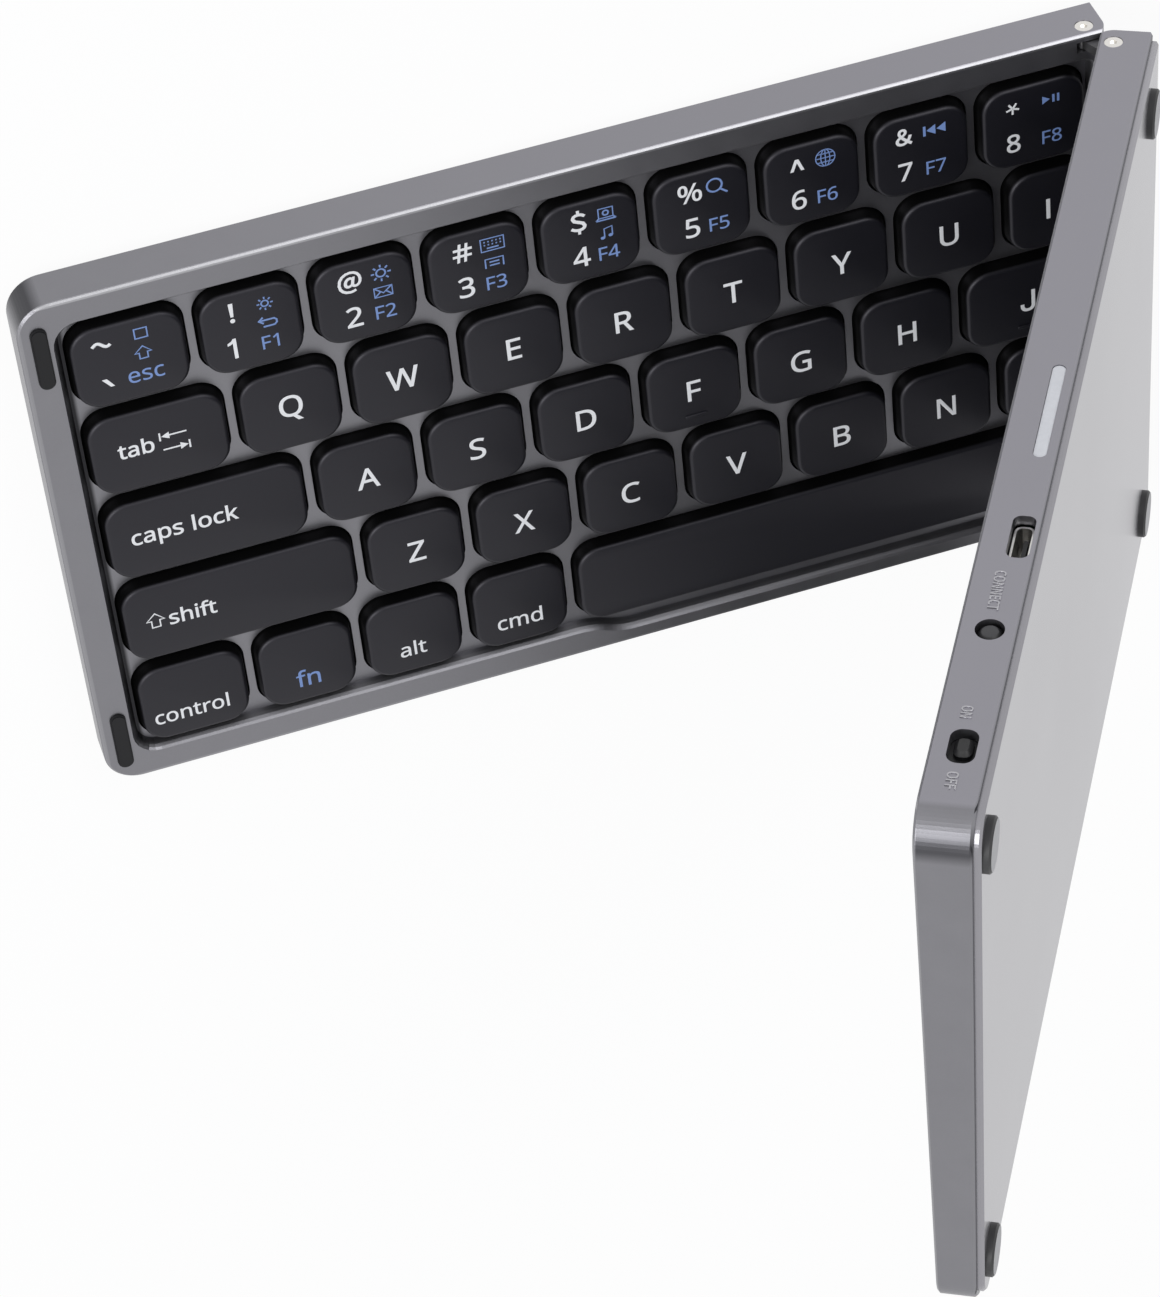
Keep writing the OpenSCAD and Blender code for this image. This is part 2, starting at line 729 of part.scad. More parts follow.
module left_keys(row, first, last) {
  color(key_black) left_half() for (k = [first:last])
    key(left_rows, left_block_end, false, row, k);
}
module right_keys(row, first, last) {
  color(key_black) right_half() for (k = [first:last])
    key(right_rows, right_block_end, true, row, k);
}

// Raised bar that the index finger finds
homing_len = 3.4;
homing_w = 0.5;
homing_proud = 0.2;
homing_y = 2.6;
module homing_bar(row, k) {
  w = key_width(left_rows, left_block_end, row, k);
  color(key_black) left_half()
    translate([key_start(left_rows, left_block_end, false, row, k) + (w - homing_len) / 2,
      key_row_y(row) + homing_y, key_proud - key_wall / 2])
      cube([homing_len, homing_w, key_wall / 2 + homing_proud]);
}

module left_escape_key() { left_keys(0, 0, 0); }
module left_number_keys() { left_keys(0, 1, 8); }
module left_tab_key() { left_keys(1, 0, 0); }
module left_upper_letter_keys() { left_keys(1, 1, 8); }
module left_caps_lock_key() { left_keys(2, 0, 0); }
module left_home_letter_keys() {
  union() {
    left_keys(2, 1, 7);
    homing_bar(2, 4);
    homing_bar(2, 7);
  }
}
module left_shift_key() { left_keys(3, 0, 0); }
module left_lower_letter_keys() { left_keys(3, 1, 7); }
module left_modifier_keys() { left_keys(4, 0, 3); }
module left_space_key() { left_keys(4, 4, 4); }
module right_number_keys() { right_keys(0, 0, 3); }
module right_backspace_key() { right_keys(0, 4, 4); }
module right_upper_letter_keys() { right_keys(1, 0, 3); }
module right_backslash_key() { right_keys(1, 4, 4); }
module right_home_letter_keys() { right_keys(2, 0, 3); }
module right_return_key() { right_keys(2, 4, 4); }
module right_lower_letter_keys() { right_keys(3, 0, 2); }
module right_shift_key() { right_keys(3, 4, 4); }
module right_space_key() { right_keys(4, 0, 0); }
module right_alt_key() { right_keys(4, 1, 1); }
module right_arrow_keys() {
  color(key_black) right_half() for (place = [[3, 3], [4, 2], [4, 3], [4, 4]])
    key(right_rows, right_block_end, true, place[0], place[1]);
}

// ---------- switch boards and domes ----------

module switch_board(x1, xs) {
  x0 = wall_t + seat_gap;
  y0 = wall_t + seat_gap;
  difference() {
    translate([0, 0, board_z - board_t]) linear_extrude(board_t) difference() {
      translate([x0, y0]) square([x1 - x0, half_depth - 2 * y0]);
      for (y = [-cut, half_depth - hinge_block_y - seat_gap])
        translate([-cut, y])
          square([hinge_block_x + cut + seat_gap, hinge_block_y + cut + seat_gap]);
      for (x = xs) {
        translate([x, boss_edge]) circle(stake_r + fit_gap, $fn = 32);
        translate([x, half_depth - boss_edge]) circle(screw_r + fit_gap, $fn = 32);
      }
    }
  }
}

// Sheet with one rubber dome under the middle of each key, and three under a space bar
module dome_sheet(rows, block_end, from_hinge) {
  y0 = block_front - 0.2;
  translate([block_hinge, y0, board_z])
    cube([block_end - block_hinge, block_rear - y0, sheet_t]);
  for (row = [0:row_count - 1], k = [0:len(row_cells(rows, block_end, row)) - 1]) {
    w = key_width(rows, block_end, row, k);
    places = w > 60 ? [-1, 0, 1] : [0];
    for (p = places)
      translate([key_start(rows, block_end, from_hinge, row, k) + w / 2 + p * w * 0.36,
        key_row_y(row) + key_depth / 2, sheet_z - 0.05])
        cylinder(r1 = 2.8, r2 = 1.8, h = dome_h + 0.05, $fn = 32);
  }
}

module board_screws(xs) {
  for (x = xs) translate([x, half_depth - boss_edge, board_z - board_t]) {
    cylinder(r = screw_r, h = screw_len - seat_gap, $fn = 32);
    translate([0, 0, -screw_head_t]) cylinder(r = screw_head_r, h = screw_head_t, $fn = 32);
  }
}

// The left outer corners of the board keep clear of the case's round corners.
left_board_end = half_len - corner_r;
right_board_end = right_block_end;
module left_switch_board() {
  color(board_green) left_half() switch_board(left_board_end, left_boss_x);
}
module right_switch_board() {
  w = led_len + window_flange[0] + 4 * seat_gap;
  y = half_depth - wall_t - window_t - light_depth - 2 * seat_gap;
  color(board_green) right_half() difference() {
    switch_board(right_board_end, right_boss_x);
    // Notch behind the light window
    translate([led_x - w / 2, y, board_z - board_t - cut])
      cube([w, half_depth - y, board_t + 2 * cut]);
  }
}
module left_dome_sheet() {
  color(rubber_black) left_half() dome_sheet(left_rows, left_block_end, false);
}
module right_dome_sheet() {
  color(rubber_black) right_half() dome_sheet(right_rows, right_block_end, true);
}
module left_board_screws() { color(steel) left_half() board_screws(left_boss_x); }
module right_board_screws() { color(steel) right_half() board_screws(right_boss_x); }

// ---------- right half's inner parts ----------

module touchpad_plate() {
  color(rubber_black) right_half()
    translate([touchpad_x, touchpad_y, -touchpad_t - touchpad_sink])
      linear_extrude(touchpad_t) rounded(touchpad_len, touchpad_depth, touchpad_r);
}

module touchpad_board() {
  g = touchpad_ledge + seat_gap;
  color(board_green) right_half()
    translate([touchpad_x + g, touchpad_y + g, -touchpad_t - touchpad_sink - board_t])
      cube([touchpad_len - 2 * g, touchpad_depth - 2 * g, board_t]);
}

// Flat cell under the touchpad, resting on the cover
module battery() {
  x = touchpad_x + (touchpad_len - battery_len) / 2;
  y = touchpad_y + touchpad_ledge + seat_gap;
  color([0.62, 0.64, 0.68]) right_half() under_case() translate([x, y, 0])
    linear_extrude(battery_t) rounded(battery_len, battery_depth, 1.5);
}

// Main board along the rear wall, cut out round the charging socket
main_end = half_len - corner_r - 0.5;
main_boss_x = [(usb_x + connect_x) / 2, (connect_x + power_x) / 2];
main_boss_y = half_depth - 6.6;
main_edge = 3;
socket_w = 7.5;
socket_h = 2.7;
socket_len = 5.4;
module main_bosses() {
  for (x = main_boss_x) translate([x, main_boss_y, main_z])
    cylinder(r = boss_r, h = ceiling_z - main_z + 0.2, $fn = 32);
}
module main_boss_holes() {
  for (x = main_boss_x) translate([x, main_boss_y, main_z - seat_gap])
    cylinder(r = screw_r + fit_gap, h = screw_len - main_t + 2 * seat_gap, $fn = 32);
}
module main_board() {
  y0 = half_depth - main_depth;
  color(board_green) right_half() translate([0, 0, main_z - main_t]) linear_extrude(main_t)
    difference() {
      translate([right_board_end + seat_gap, y0])
        square([main_end - right_board_end - seat_gap, main_depth - main_edge]);
      translate([usb_x - socket_w / 2 - seat_gap, half_depth - wall_t - socket_len - seat_gap])
        square([socket_w + 2 * seat_gap, socket_len + cut]);
      for (x = main_boss_x) translate([x, main_boss_y]) circle(screw_r + fit_gap, $fn = 32);
    }
}
module main_board_screws() {
  color(steel) right_half() for (x = main_boss_x)
    translate([x, main_boss_y, main_z - main_t]) {
      cylinder(r = screw_r, h = screw_len - seat_gap, $fn = 32);
      translate([0, 0, -screw_head_t]) cylinder(r = screw_head_r, h = screw_head_t, $fn = 32);
    }
}

module socket_plan(grow) {
  w = socket_w + 2 * grow;
  h = socket_h + 2 * grow;
  translate([-w / 2, -h / 2]) rounded(w, h, h * 0.38);
}
module usb_receptacle() {
  color(steel) right_half() difference() {
    rear_feature(usb_x, usb_z, wall_t + 0.05, wall_t + socket_len) socket_plan(0);
    rear_feature(usb_x, usb_z, 0, wall_t + socket_len - 0.4) socket_plan(-0.3);
  }
}
module usb_tongue() {
  color(rubber_black) right_half() rear_feature(usb_x, usb_z - 0.35, wall_t + 0.8,
    wall_t + socket_len - 0.4) square(tongue_size, center = true);
}

module light_window() {
  color(window_white) right_half() {
    rear_feature(led_x, led_z, 0.15, wall_t + 0.4)
      pill(led_len - 2 * fit_gap, led_h - 2 * fit_gap);
    rear_feature(led_x, led_z, wall_t + fit_gap, wall_t + window_t)
      square([led_len, led_h] + window_flange, center = true);
  }
}
module status_lights() {
  color("white") right_half() for (i = [-1:1])
    rear_feature(led_x + i * led_len / 3, led_z, wall_t + window_t + seat_gap,
      wall_t + window_t + seat_gap + light_depth) square(light_size, center = true);
}

module connect_button() {
  color(key_black) right_half() {
    rear_feature(connect_x, button_z, 0.45, wall_t + 0.3) circle(connect_r, $fn = 48);
    rear_feature(connect_x, button_z, 0.3, 0.45) circle(connect_r - 0.2, $fn = 48);
    rear_feature(connect_x, button_z, wall_t + 0.05, wall_t + 0.05 + flange_t)
      circle(flange_r, $fn = 48);
  }
}
module connect_switch() {
  top = wall_t + 0.05 + flange_t + connect_travel + seat_gap;
  color(steel) right_half() {
    rear_feature(connect_x, button_z, top, top + switch_tip_len)
      circle(switch_tip_r, $fn = 32);
    rear_feature(connect_x, button_z, top + switch_tip_len - seat_gap, top + switch_depth - 0.1)
      square(connect_body, center = true);
  }
}
module power_knob() {
  x = power_x + power_rest;
  h = power_h - 1.2;
  color(key_black) right_half() {
    rear_feature(x, button_z, 0.5, wall_t + 0.4) translate([-power_knob_len / 2, -h / 2])
      rounded(power_knob_len, h, h * 0.42);
    rear_feature(x, button_z, wall_t + 0.1, wall_t + 0.6)
      square([power_plate_len, power_plate_h], center = true);
  }
}
module power_switch() {
  y = wall_t + 0.7;
  color(steel) right_half() rear_feature(power_x, button_z, y, y + switch_depth)
    square(power_body, center = true);
}

left_case();
left_bottom_cover();
left_switch_board();
left_dome_sheet();
left_board_screws();
left_feet();
left_bumpers();
left_magnets();
left_hinge_pins();
left_escape_key();
left_number_keys();
left_tab_key();
left_upper_letter_keys();
left_caps_lock_key();
left_home_letter_keys();
left_shift_key();
left_lower_letter_keys();
left_modifier_keys();
left_space_key();
rear_hinge_link();
front_hinge_link();
hinge_flex_cable();
right_case();
right_bottom_cover();
right_switch_board();
right_dome_sheet();
right_board_screws();
right_feet();
right_bumpers();
right_magnets();
right_hinge_pins();
right_number_keys();
right_backspace_key();
right_upper_letter_keys();
right_backslash_key();
right_home_letter_keys();
right_return_key();
right_lower_letter_keys();
right_shift_key();
right_space_key();
right_alt_key();
right_arrow_keys();
touchpad_plate();
touchpad_board();
battery();
main_board();
main_board_screws();
usb_receptacle();
usb_tongue();
light_window();
status_lights();
connect_button();
connect_switch();
power_knob();
power_switch();
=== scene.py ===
import math

import bmesh
import bpy
from mathutils import Matrix, Vector


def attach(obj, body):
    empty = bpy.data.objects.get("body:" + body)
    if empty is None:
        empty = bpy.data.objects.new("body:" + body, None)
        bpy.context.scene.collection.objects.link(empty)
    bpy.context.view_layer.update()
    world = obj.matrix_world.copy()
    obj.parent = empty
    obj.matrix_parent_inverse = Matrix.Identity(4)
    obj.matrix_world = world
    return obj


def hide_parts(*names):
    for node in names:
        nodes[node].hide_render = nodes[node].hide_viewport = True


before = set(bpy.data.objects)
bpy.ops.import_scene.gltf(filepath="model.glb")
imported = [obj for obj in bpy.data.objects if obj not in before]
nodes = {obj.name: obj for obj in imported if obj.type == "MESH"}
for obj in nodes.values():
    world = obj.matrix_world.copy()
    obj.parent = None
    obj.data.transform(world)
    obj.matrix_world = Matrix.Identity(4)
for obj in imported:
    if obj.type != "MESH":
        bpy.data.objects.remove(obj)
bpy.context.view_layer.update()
scene = bpy.context.scene
scene.view_settings.view_transform = "Standard"

# ---------- Camera ----------
# A long lens behind the keyboard's rear edge, looking down on the keys from the hinge side.
camera_data = bpy.data.cameras.new("long_lens")
camera_data.lens = 135.652
camera_data.sensor_width = 36
camera_data.clip_start = 0.05
camera = bpy.data.objects.new("camera", camera_data)
camera.location = (-0.13507, 0.45916, 0.565641)
camera.rotation_euler = (-0.695986, -0.301263, -0.09671)
scene.collection.objects.link(camera)
scene.camera = camera


# ---------- Studio ----------
# A white sweep under a soft tent: a big soft lamp on the left, a weaker one over the hinge,
# and even light from all round. The sweep is matt board, so the shadow stays on it.
def add_node(tree, kind, **values):
    """A new shader node with its plain input values set."""
    node = tree.nodes.new("ShaderNode" + kind)
    for name, value in values.items():
        node.inputs[name.replace("_", " ")].default_value = value
    return node


def seen_ray(tree):
    """1 for rays that the camera, a gloss or a glass sends to the background."""
    path = add_node(tree, "LightPath")
    either = add_node(tree, "Math")
    either.operation = "MAXIMUM"
    tree.links.new(path.outputs["Is Camera Ray"], either.inputs[0])
    tree.links.new(path.outputs["Is Glossy Ray"], either.inputs[1])
    both = add_node(tree, "Math")
    both.operation = "MAXIMUM"
    tree.links.new(either.outputs[0], both.inputs[0])
    tree.links.new(path.outputs["Is Transmission Ray"], both.inputs[1])
    return both.outputs[0]


def board_white(name, glow):
    """Pale matt board that looks almost white and still takes a shadow."""
    material = bpy.data.materials.new(name)
    material.use_nodes = True
    tree = material.node_tree
    shader = tree.nodes["Principled BSDF"]
    shader.inputs["Base Color"].default_value = (0.88, 0.88, 0.88, 1)
    shader.inputs["Roughness"].default_value = 0.9
    shader.inputs["Specular IOR Level"].default_value = 0.1
    paper = add_node(tree, "Emission", Color=(1, 1, 1, 1), Strength=1.0)
    share = add_node(tree, "Math")
    share.operation = "MULTIPLY"
    share.inputs[1].default_value = glow
    tree.links.new(seen_ray(tree), share.inputs[0])
    mix = add_node(tree, "MixShader")
    tree.links.new(share.outputs[0], mix.inputs[0])
    tree.links.new(shader.outputs[0], mix.inputs[1])
    tree.links.new(paper.outputs[0], mix.inputs[2])
    tree.links.new(mix.outputs[0], tree.nodes["Material Output"].inputs["Surface"])
    return material


floor_r = 3.0
bpy.ops.object.select_all(action="DESELECT")
bpy.ops.mesh.primitive_circle_add(vertices=96, radius=floor_r, fill_type="NGON")
floor = bpy.context.object
floor.name = "sweep"
floor.data.materials.append(board_white("sweep_board", 0.93))

world = bpy.data.worlds.new("tent")
scene.world = world
world.use_nodes = True
tent = world.node_tree
tent_light = tent.nodes["Background"]
tent_light.inputs["Color"].default_value = (0.93, 0.95, 1, 1)
tent_light.inputs["Strength"].default_value = 0.5
tent_white = add_node(tent, "Background", Color=(1, 1, 1, 1), Strength=1.0)
tent_mix = add_node(tent, "MixShader")
tent.links.new(seen_ray(tent), tent_mix.inputs[0])
tent.links.new(tent_light.outputs[0], tent_mix.inputs[1])
tent.links.new(tent_white.outputs[0], tent_mix.inputs[2])
tent.links.new(tent_mix.outputs[0], tent.nodes["World Output"].inputs["Surface"])


def soft_lamp(name, place, aim, size, power):
    """A round area lamp at a place, turned to what it aims at; metres and watts."""
    data = bpy.data.lights.new(name, "AREA")
    data.shape = "DISK"
    data.size = size
    data.energy = power
    lamp = bpy.data.objects.new(name, data)
    lamp.location = place
    lamp.rotation_euler = (Vector(aim) - Vector(place)).to_track_quat("-Z", "Y").to_euler()
    scene.collection.objects.link(lamp)


soft_lamp("left_lamp", (-0.9, 0.35, 0.9), (-0.03, 0, 0.03), 0.9, 9)
soft_lamp("hinge_lamp", (0.5, 0.9, 0.9), (0.05, 0, 0.05), 0.8, 4)

# ---------- Where the two halves stand ----------
# Each half is laid out in millimetres: x from its hinge end, y from the front edge to the
# rear edge, z up from the deck. The left half leans on its feet, the right one hangs over
# it on the links. On the left half x runs the other way, so words read the right way round.
half_len, half_depth, front_t, rear_t, corner_r = 165.3, 93.0, 5.35, 7.6, 5.5
left_block_end, right_block_end = 158.8, 102.4
fold_angle, link_angle, pin_inset, pin_depth, link_len = 120, 66, 2.9, 2.2, 6.0
millimetre = 0.001
hinge_end, front_edge, desk_gap = 79.76949, -44.74484, 2.1
wedge = math.atan((rear_t - front_t) / half_depth)
left_frame = (Matrix.Scale(millimetre, 4)
              @ Matrix.Translation((hinge_end, front_edge, desk_gap))
              @ Matrix.Rotation(wedge, 4, "X")
              @ Matrix.Translation((0, 0, front_t)))
hinge_x = link_len * math.cos(math.radians(link_angle)) - pin_inset
hinge_z = link_len * math.sin(math.radians(link_angle)) - pin_depth
right_frame = (left_frame
               @ Matrix.Translation((hinge_x, 0, hinge_z))
               @ Matrix.Rotation(math.radians(-fold_angle), 4, "Y")
               @ Matrix.Translation((-pin_inset, 0, pin_depth)))


def to_half(half):
    """From a half's own millimetres to the scene's metres."""
    return left_frame if half == "left" else right_frame


# ---------- Black card ----------
# A studio card in front of the set, in line with the lifted half. Only gloss sees it: it
# keeps the keys near the hinge dark, as an unlit room in front of a table would.
card_high, card_wide, card_front = 128, 270, -150
bpy.ops.object.select_all(action="DESELECT")
bpy.ops.mesh.primitive_plane_add(size=1)
card = bpy.context.object
card.name = "black_card"
card.data.transform(right_frame @ Matrix.Translation((card_high / 2, card_front, 0))
                    @ Matrix.Diagonal((card_high, card_wide, 1, 1)))
card_black = bpy.data.materials.new("card_black")
card_black.use_nodes = True
card_shader = card_black.node_tree.nodes["Principled BSDF"]
card_shader.inputs["Base Color"].default_value = (0.01, 0.01, 0.01, 1)
card_shader.inputs["Roughness"].default_value = 0.9
card.data.materials.append(card_black)
card.visible_camera = card.visible_diffuse = False
card.visible_shadow = card.visible_transmission = False


# ---------- Case halves ----------
# Die-cast shells in satin metallic grey paint. The paint carries fine metal flakes and has soft
# cloudy patches from handling. Painted light: a highlight along the outer edges, reflections on
# the rear wall and the rear corner, and shade in the well.
def new_group(name, inputs, outputs):
    """An empty shader group with its named sockets: (tree, its input node, its output node)."""
    tree = bpy.data.node_groups.new(name, "ShaderNodeTree")
    for socket, kind in inputs:
        tree.interface.new_socket(socket, in_out="INPUT", socket_type="NodeSocket" + kind)
    for socket, kind in outputs:
        tree.interface.new_socket(socket, in_out="OUTPUT", socket_type="NodeSocket" + kind)
    return tree, tree.nodes.new("NodeGroupInput"), tree.nodes.new("NodeGroupOutput")


def math_node(tree, operation, first, second=None, third=None):
    """A Math node on sockets or plain numbers; gives its output socket."""
    node = tree.nodes.new("ShaderNodeMath")
    node.operation = operation
    for place, value in enumerate((first, second, third)):
        if value is None:
            continue
        if isinstance(value, (int, float)):
            node.inputs[place].default_value = value
        else:
            tree.links.new(value, node.inputs[place])
    return node.outputs[0]


def noise(tree, coords, scale, detail, roughness):
    """A noise texture over coordinates, with its scale from a socket; gives its value socket."""
    node = tree.nodes.new("ShaderNodeTexNoise")
    node.inputs["Detail"].default_value = detail
    node.inputs["Roughness"].default_value = roughness
    tree.links.new(coords, node.inputs["Vector"])
    tree.links.new(scale, node.inputs["Scale"])
    return node.outputs[0]


def mix_colour(tree, factor, first, second):
    """A colour mix on sockets or plain colours; gives its colour socket."""
    node = tree.nodes.new("ShaderNodeMix")
    node.data_type = "RGBA"
    for place, value in (("Factor_Float", factor), ("A_Color", first), ("B_Color", second)):
        socket = next(s for s in node.inputs if s.identifier == place)
        if isinstance(value, tuple):
            socket.default_value = value
        else:
            tree.links.new(value, socket)
    return next(s for s in node.outputs if s.identifier == "Result_Color")


# Grain: a base colour with a second colour in fine flecks and in slow clouds.
grain, grain_in, grain_out = new_group(
    "surface_grain",
    [("Color", "Color"), ("Fleck", "Color"), ("Grain Scale", "Float"), ("Fleck Amount", "Float"),
     ("Cloud Scale", "Float"), ("Cloud Amount", "Float"),
     ("Roughness", "Float"), ("Roughness Spread", "Float")],
    [("Color", "Color"), ("Roughness", "Float"), ("Height", "Float")])
place = grain.nodes.new("ShaderNodeTexCoord").outputs["Object"]
flecks = noise(grain, place, grain_in.outputs["Grain Scale"], 2.0, 0.6)
clouds = noise(grain, place, grain_in.outputs["Cloud Scale"], 3.0, 0.55)
fleck_share = math_node(grain, "MULTIPLY", flecks, grain_in.outputs["Fleck Amount"])
cloud_share = math_node(grain, "MULTIPLY", clouds, grain_in.outputs["Cloud Amount"])
share = math_node(grain, "ADD", fleck_share, cloud_share)
grain.links.new(mix_colour(grain, share, grain_in.outputs["Color"], grain_in.outputs["Fleck"]),
                grain_out.inputs["Color"])
spread = math_node(grain, "MULTIPLY", math_node(grain, "SUBTRACT", clouds, 0.5),
                   grain_in.outputs["Roughness Spread"])
grain.links.new(math_node(grain, "ADD", spread, grain_in.outputs["Roughness"]),
                grain_out.inputs["Roughness"])
grain.links.new(flecks, grain_out.inputs["Height"])


def finish(name, colour, fleck, roughness, metallic=0.0, grain_scale=4000.0, fleck_amount=0.25,
           cloud_scale=60.0, cloud_amount=0.25, spread=0.1, bump=0.02, specular=0.5):
    """A material with grained colour and roughness and a fine bump. Gives the material,
    its tree, its shader and its grain group."""
    material = bpy.data.materials.new(name)
    material.use_nodes = True
    tree = material.node_tree
    shader = tree.nodes["Principled BSDF"]
    shader.inputs["Metallic"].default_value = metallic
    shader.inputs["Specular IOR Level"].default_value = specular
    surface = tree.nodes.new("ShaderNodeGroup")
    surface.node_tree = grain
    for socket, value in (("Color", (*colour, 1)), ("Fleck", (*fleck, 1)),
                          ("Grain Scale", grain_scale), ("Fleck Amount", fleck_amount),
                          ("Cloud Scale", cloud_scale), ("Cloud Amount", cloud_amount),
                          ("Roughness", roughness), ("Roughness Spread", spread)):
        surface.inputs[socket].default_value = value
    tree.links.new(surface.outputs["Color"], shader.inputs["Base Color"])
    tree.links.new(surface.outputs["Roughness"], shader.inputs["Roughness"])
    relief = tree.nodes.new("ShaderNodeBump")
    relief.inputs["Strength"].default_value = bump
    relief.inputs["Distance"].default_value = 0.2 * millimetre
    tree.links.new(surface.outputs["Height"], relief.inputs["Height"])
    tree.links.new(relief.outputs[0], shader.inputs["Normal"])
    return material, tree, shader, surface


def dress(material, *names):
    """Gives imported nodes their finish."""
    for name in names:
        for slot in nodes[name].material_slots:
            slot.material = material


def own_axes(tree, half, matrix):
    """x, y and z in a half's own millimetres, for a thing that stands at the given matrix."""
    to_own = to_half(half).inverted() @ matrix
    own = tree.nodes.new("ShaderNodeMapping")
    place, turn, size = to_own.decompose()
    own.inputs["Location"].default_value = place
    own.inputs["Rotation"].default_value = turn.to_euler()
    own.inputs["Scale"].default_value = size
    tree.links.new(tree.nodes.new("ShaderNodeTexCoord").outputs["Object"], own.inputs["Vector"])
    axes = tree.nodes.new("ShaderNodeSeparateXYZ")
    tree.links.new(own.outputs[0], axes.inputs[0])
    return axes.outputs[0], axes.outputs[1], axes.outputs[2]


def ramp(tree, value, low, high):
    """0 where the value is at `low`, 1 where it is at `high`, straight between."""
    fade = tree.nodes.new("ShaderNodeMapRange")
    fade.inputs["From Min"].default_value = low
    fade.inputs["From Max"].default_value = high
    tree.links.new(value, fade.inputs["Value"])
    return fade.outputs[0]


seam_and_reflection_dark, lip_highlight_paint, well_shade_colour = (
    (0.035, 0.035, 0.04, 1), (0.4, 0.4, 0.42, 1), (0.03, 0.03, 0.033, 1))
seam_in, seam_w, lip_depth, lip_w, well_w = 0.45, 0.12, 0.12, 0.13, 2.5
# The corner's painted dark reflection band, as angles round the corner from the rear: it starts,
# is full, starts to fade and ends. The last number is its strength.
corner_reflection_bands = {"left": (0.15, 0.5, 0.9, 1.4, 0.85), "right": (0.7, 1.2, 1.45, 1.8, 0.75)}
for half in ("left", "right"):
    paint, tree, shader, surface = finish(
        half + "_grey_paint", (0.205, 0.203, 0.22), (0.3, 0.3, 0.32), 0.36, metallic=0.95,
        grain_scale=5000, fleck_amount=0.2, cloud_scale=200, cloud_amount=0.22, spread=0.1,
        bump=0.05)
    x, y, z = own_axes(tree, half, nodes[half + "_case"].matrix_world)
    to_end = math_node(tree, "SUBTRACT", half_len, math_node(tree, "ABSOLUTE", x))
    to_rear = math_node(tree, "SUBTRACT", half_depth, y)
    to_side = math_node(tree, "MINIMUM", math_node(tree, "MINIMUM", to_rear, y), to_end)
    # Painted reflection: the rear wall is painted lighter towards the hinge, where it would catch
    # more of the white board
    wall_reflection = math_node(tree, "MULTIPLY", ramp(tree, to_rear, 0.3, 0.1),
                        ramp(tree, to_end, 0, half_len) if half == "left" else 1.0)
    coat = mix_colour(tree, wall_reflection, surface.outputs["Color"], (0.29, 0.285, 0.315, 1))
    # Painted highlight: a bright line along the lip of the outer edges, strongest at the rear
    lip_highlight = math_node(tree, "MULTIPLY", ramp(tree, to_side, 0.75, 0.6),
                     math_node(tree, "COMPARE", z, -lip_depth, lip_w))
    lip_highlight = math_node(tree, "MULTIPLY", lip_highlight, math_node(
        tree, "MAXIMUM", ramp(tree, to_rear, 3.0, 1.0), 0.35))
    coat = mix_colour(tree, lip_highlight, coat, lip_highlight_paint)
    # Dark seam where the cover meets the case
    under = ramp(tree, math_node(tree, "MULTIPLY_ADD", y, (rear_t - front_t) / half_depth, z),
                 -front_t + 0.3, -front_t + 0.2)
    seam = math_node(tree, "MULTIPLY", under,
                     math_node(tree, "COMPARE", to_side, seam_in, seam_w))
    coat = mix_colour(tree, seam, coat, seam_and_reflection_dark)
    # Painted reflection: a dark band round the rear corner
    bend = math_node(tree, "ARCTAN2", math_node(tree, "SUBTRACT", corner_r, to_end),
                     math_node(tree, "SUBTRACT", corner_r, to_rear))
    start, full, fade, end, strength = corner_reflection_bands[half]
    band = math_node(tree, "MULTIPLY", ramp(tree, bend, start, full), ramp(tree, bend, end, fade))
    band = math_node(tree, "MULTIPLY", math_node(tree, "MULTIPLY", band, strength),
                     ramp(tree, z, -0.35, -0.5))
    coat = mix_colour(tree, band, coat, seam_and_reflection_dark)
    # Painted shade: the foot of the well's slope beside the outermost keys is painted dark
    outward = math_node(tree, "ABSOLUTE", x)
    block = left_block_end if half == "left" else right_block_end
    well = math_node(tree, "MULTIPLY", ramp(tree, z, -0.5, -1.3),
                     ramp(tree, outward, block - 0.4, block + 0.2))
    well = math_node(tree, "MULTIPLY", well,
                     ramp(tree, outward, block + well_w, block + well_w - 0.5))
    well = math_node(tree, "MULTIPLY", well, ramp(tree, to_side, 2.0, 2.3))
    coat = mix_colour(tree, well, coat, well_shade_colour)
    tree.links.new(coat, shader.inputs["Base Color"])
    dress(paint, half + "_case")

# ---------- Bottom covers ----------
# Pressed aluminium plates in the same grey, with a finer and glossier coat. They are glued into
# the cases a little back from the edge, and carry a painted reflection that makes them lighter
# towards the hinge.
light_reach = 70
for half in ("left", "right"):
    paint, tree, shader, surface = finish(
        half + "_plate_paint", (0.29, 0.285, 0.308), (0.36, 0.355, 0.38), 0.26, metallic=0.95,
        grain_scale=6000, fleck_amount=0.2, cloud_scale=14, cloud_amount=0.2, spread=0.06,
        bump=0.02)
    x = own_axes(tree, half, nodes[half + "_bottom_cover"].matrix_world)[0]
    # Painted reflection: lighter towards the hinge
    hinge_sheen = ramp(tree, math_node(tree, "ABSOLUTE", x), light_reach, 0)
    tree.links.new(mix_colour(tree, hinge_sheen, surface.outputs["Color"], (0.37, 0.365, 0.39, 1)),
                   shader.inputs["Base Color"])
    dress(paint, half + "_bottom_cover")

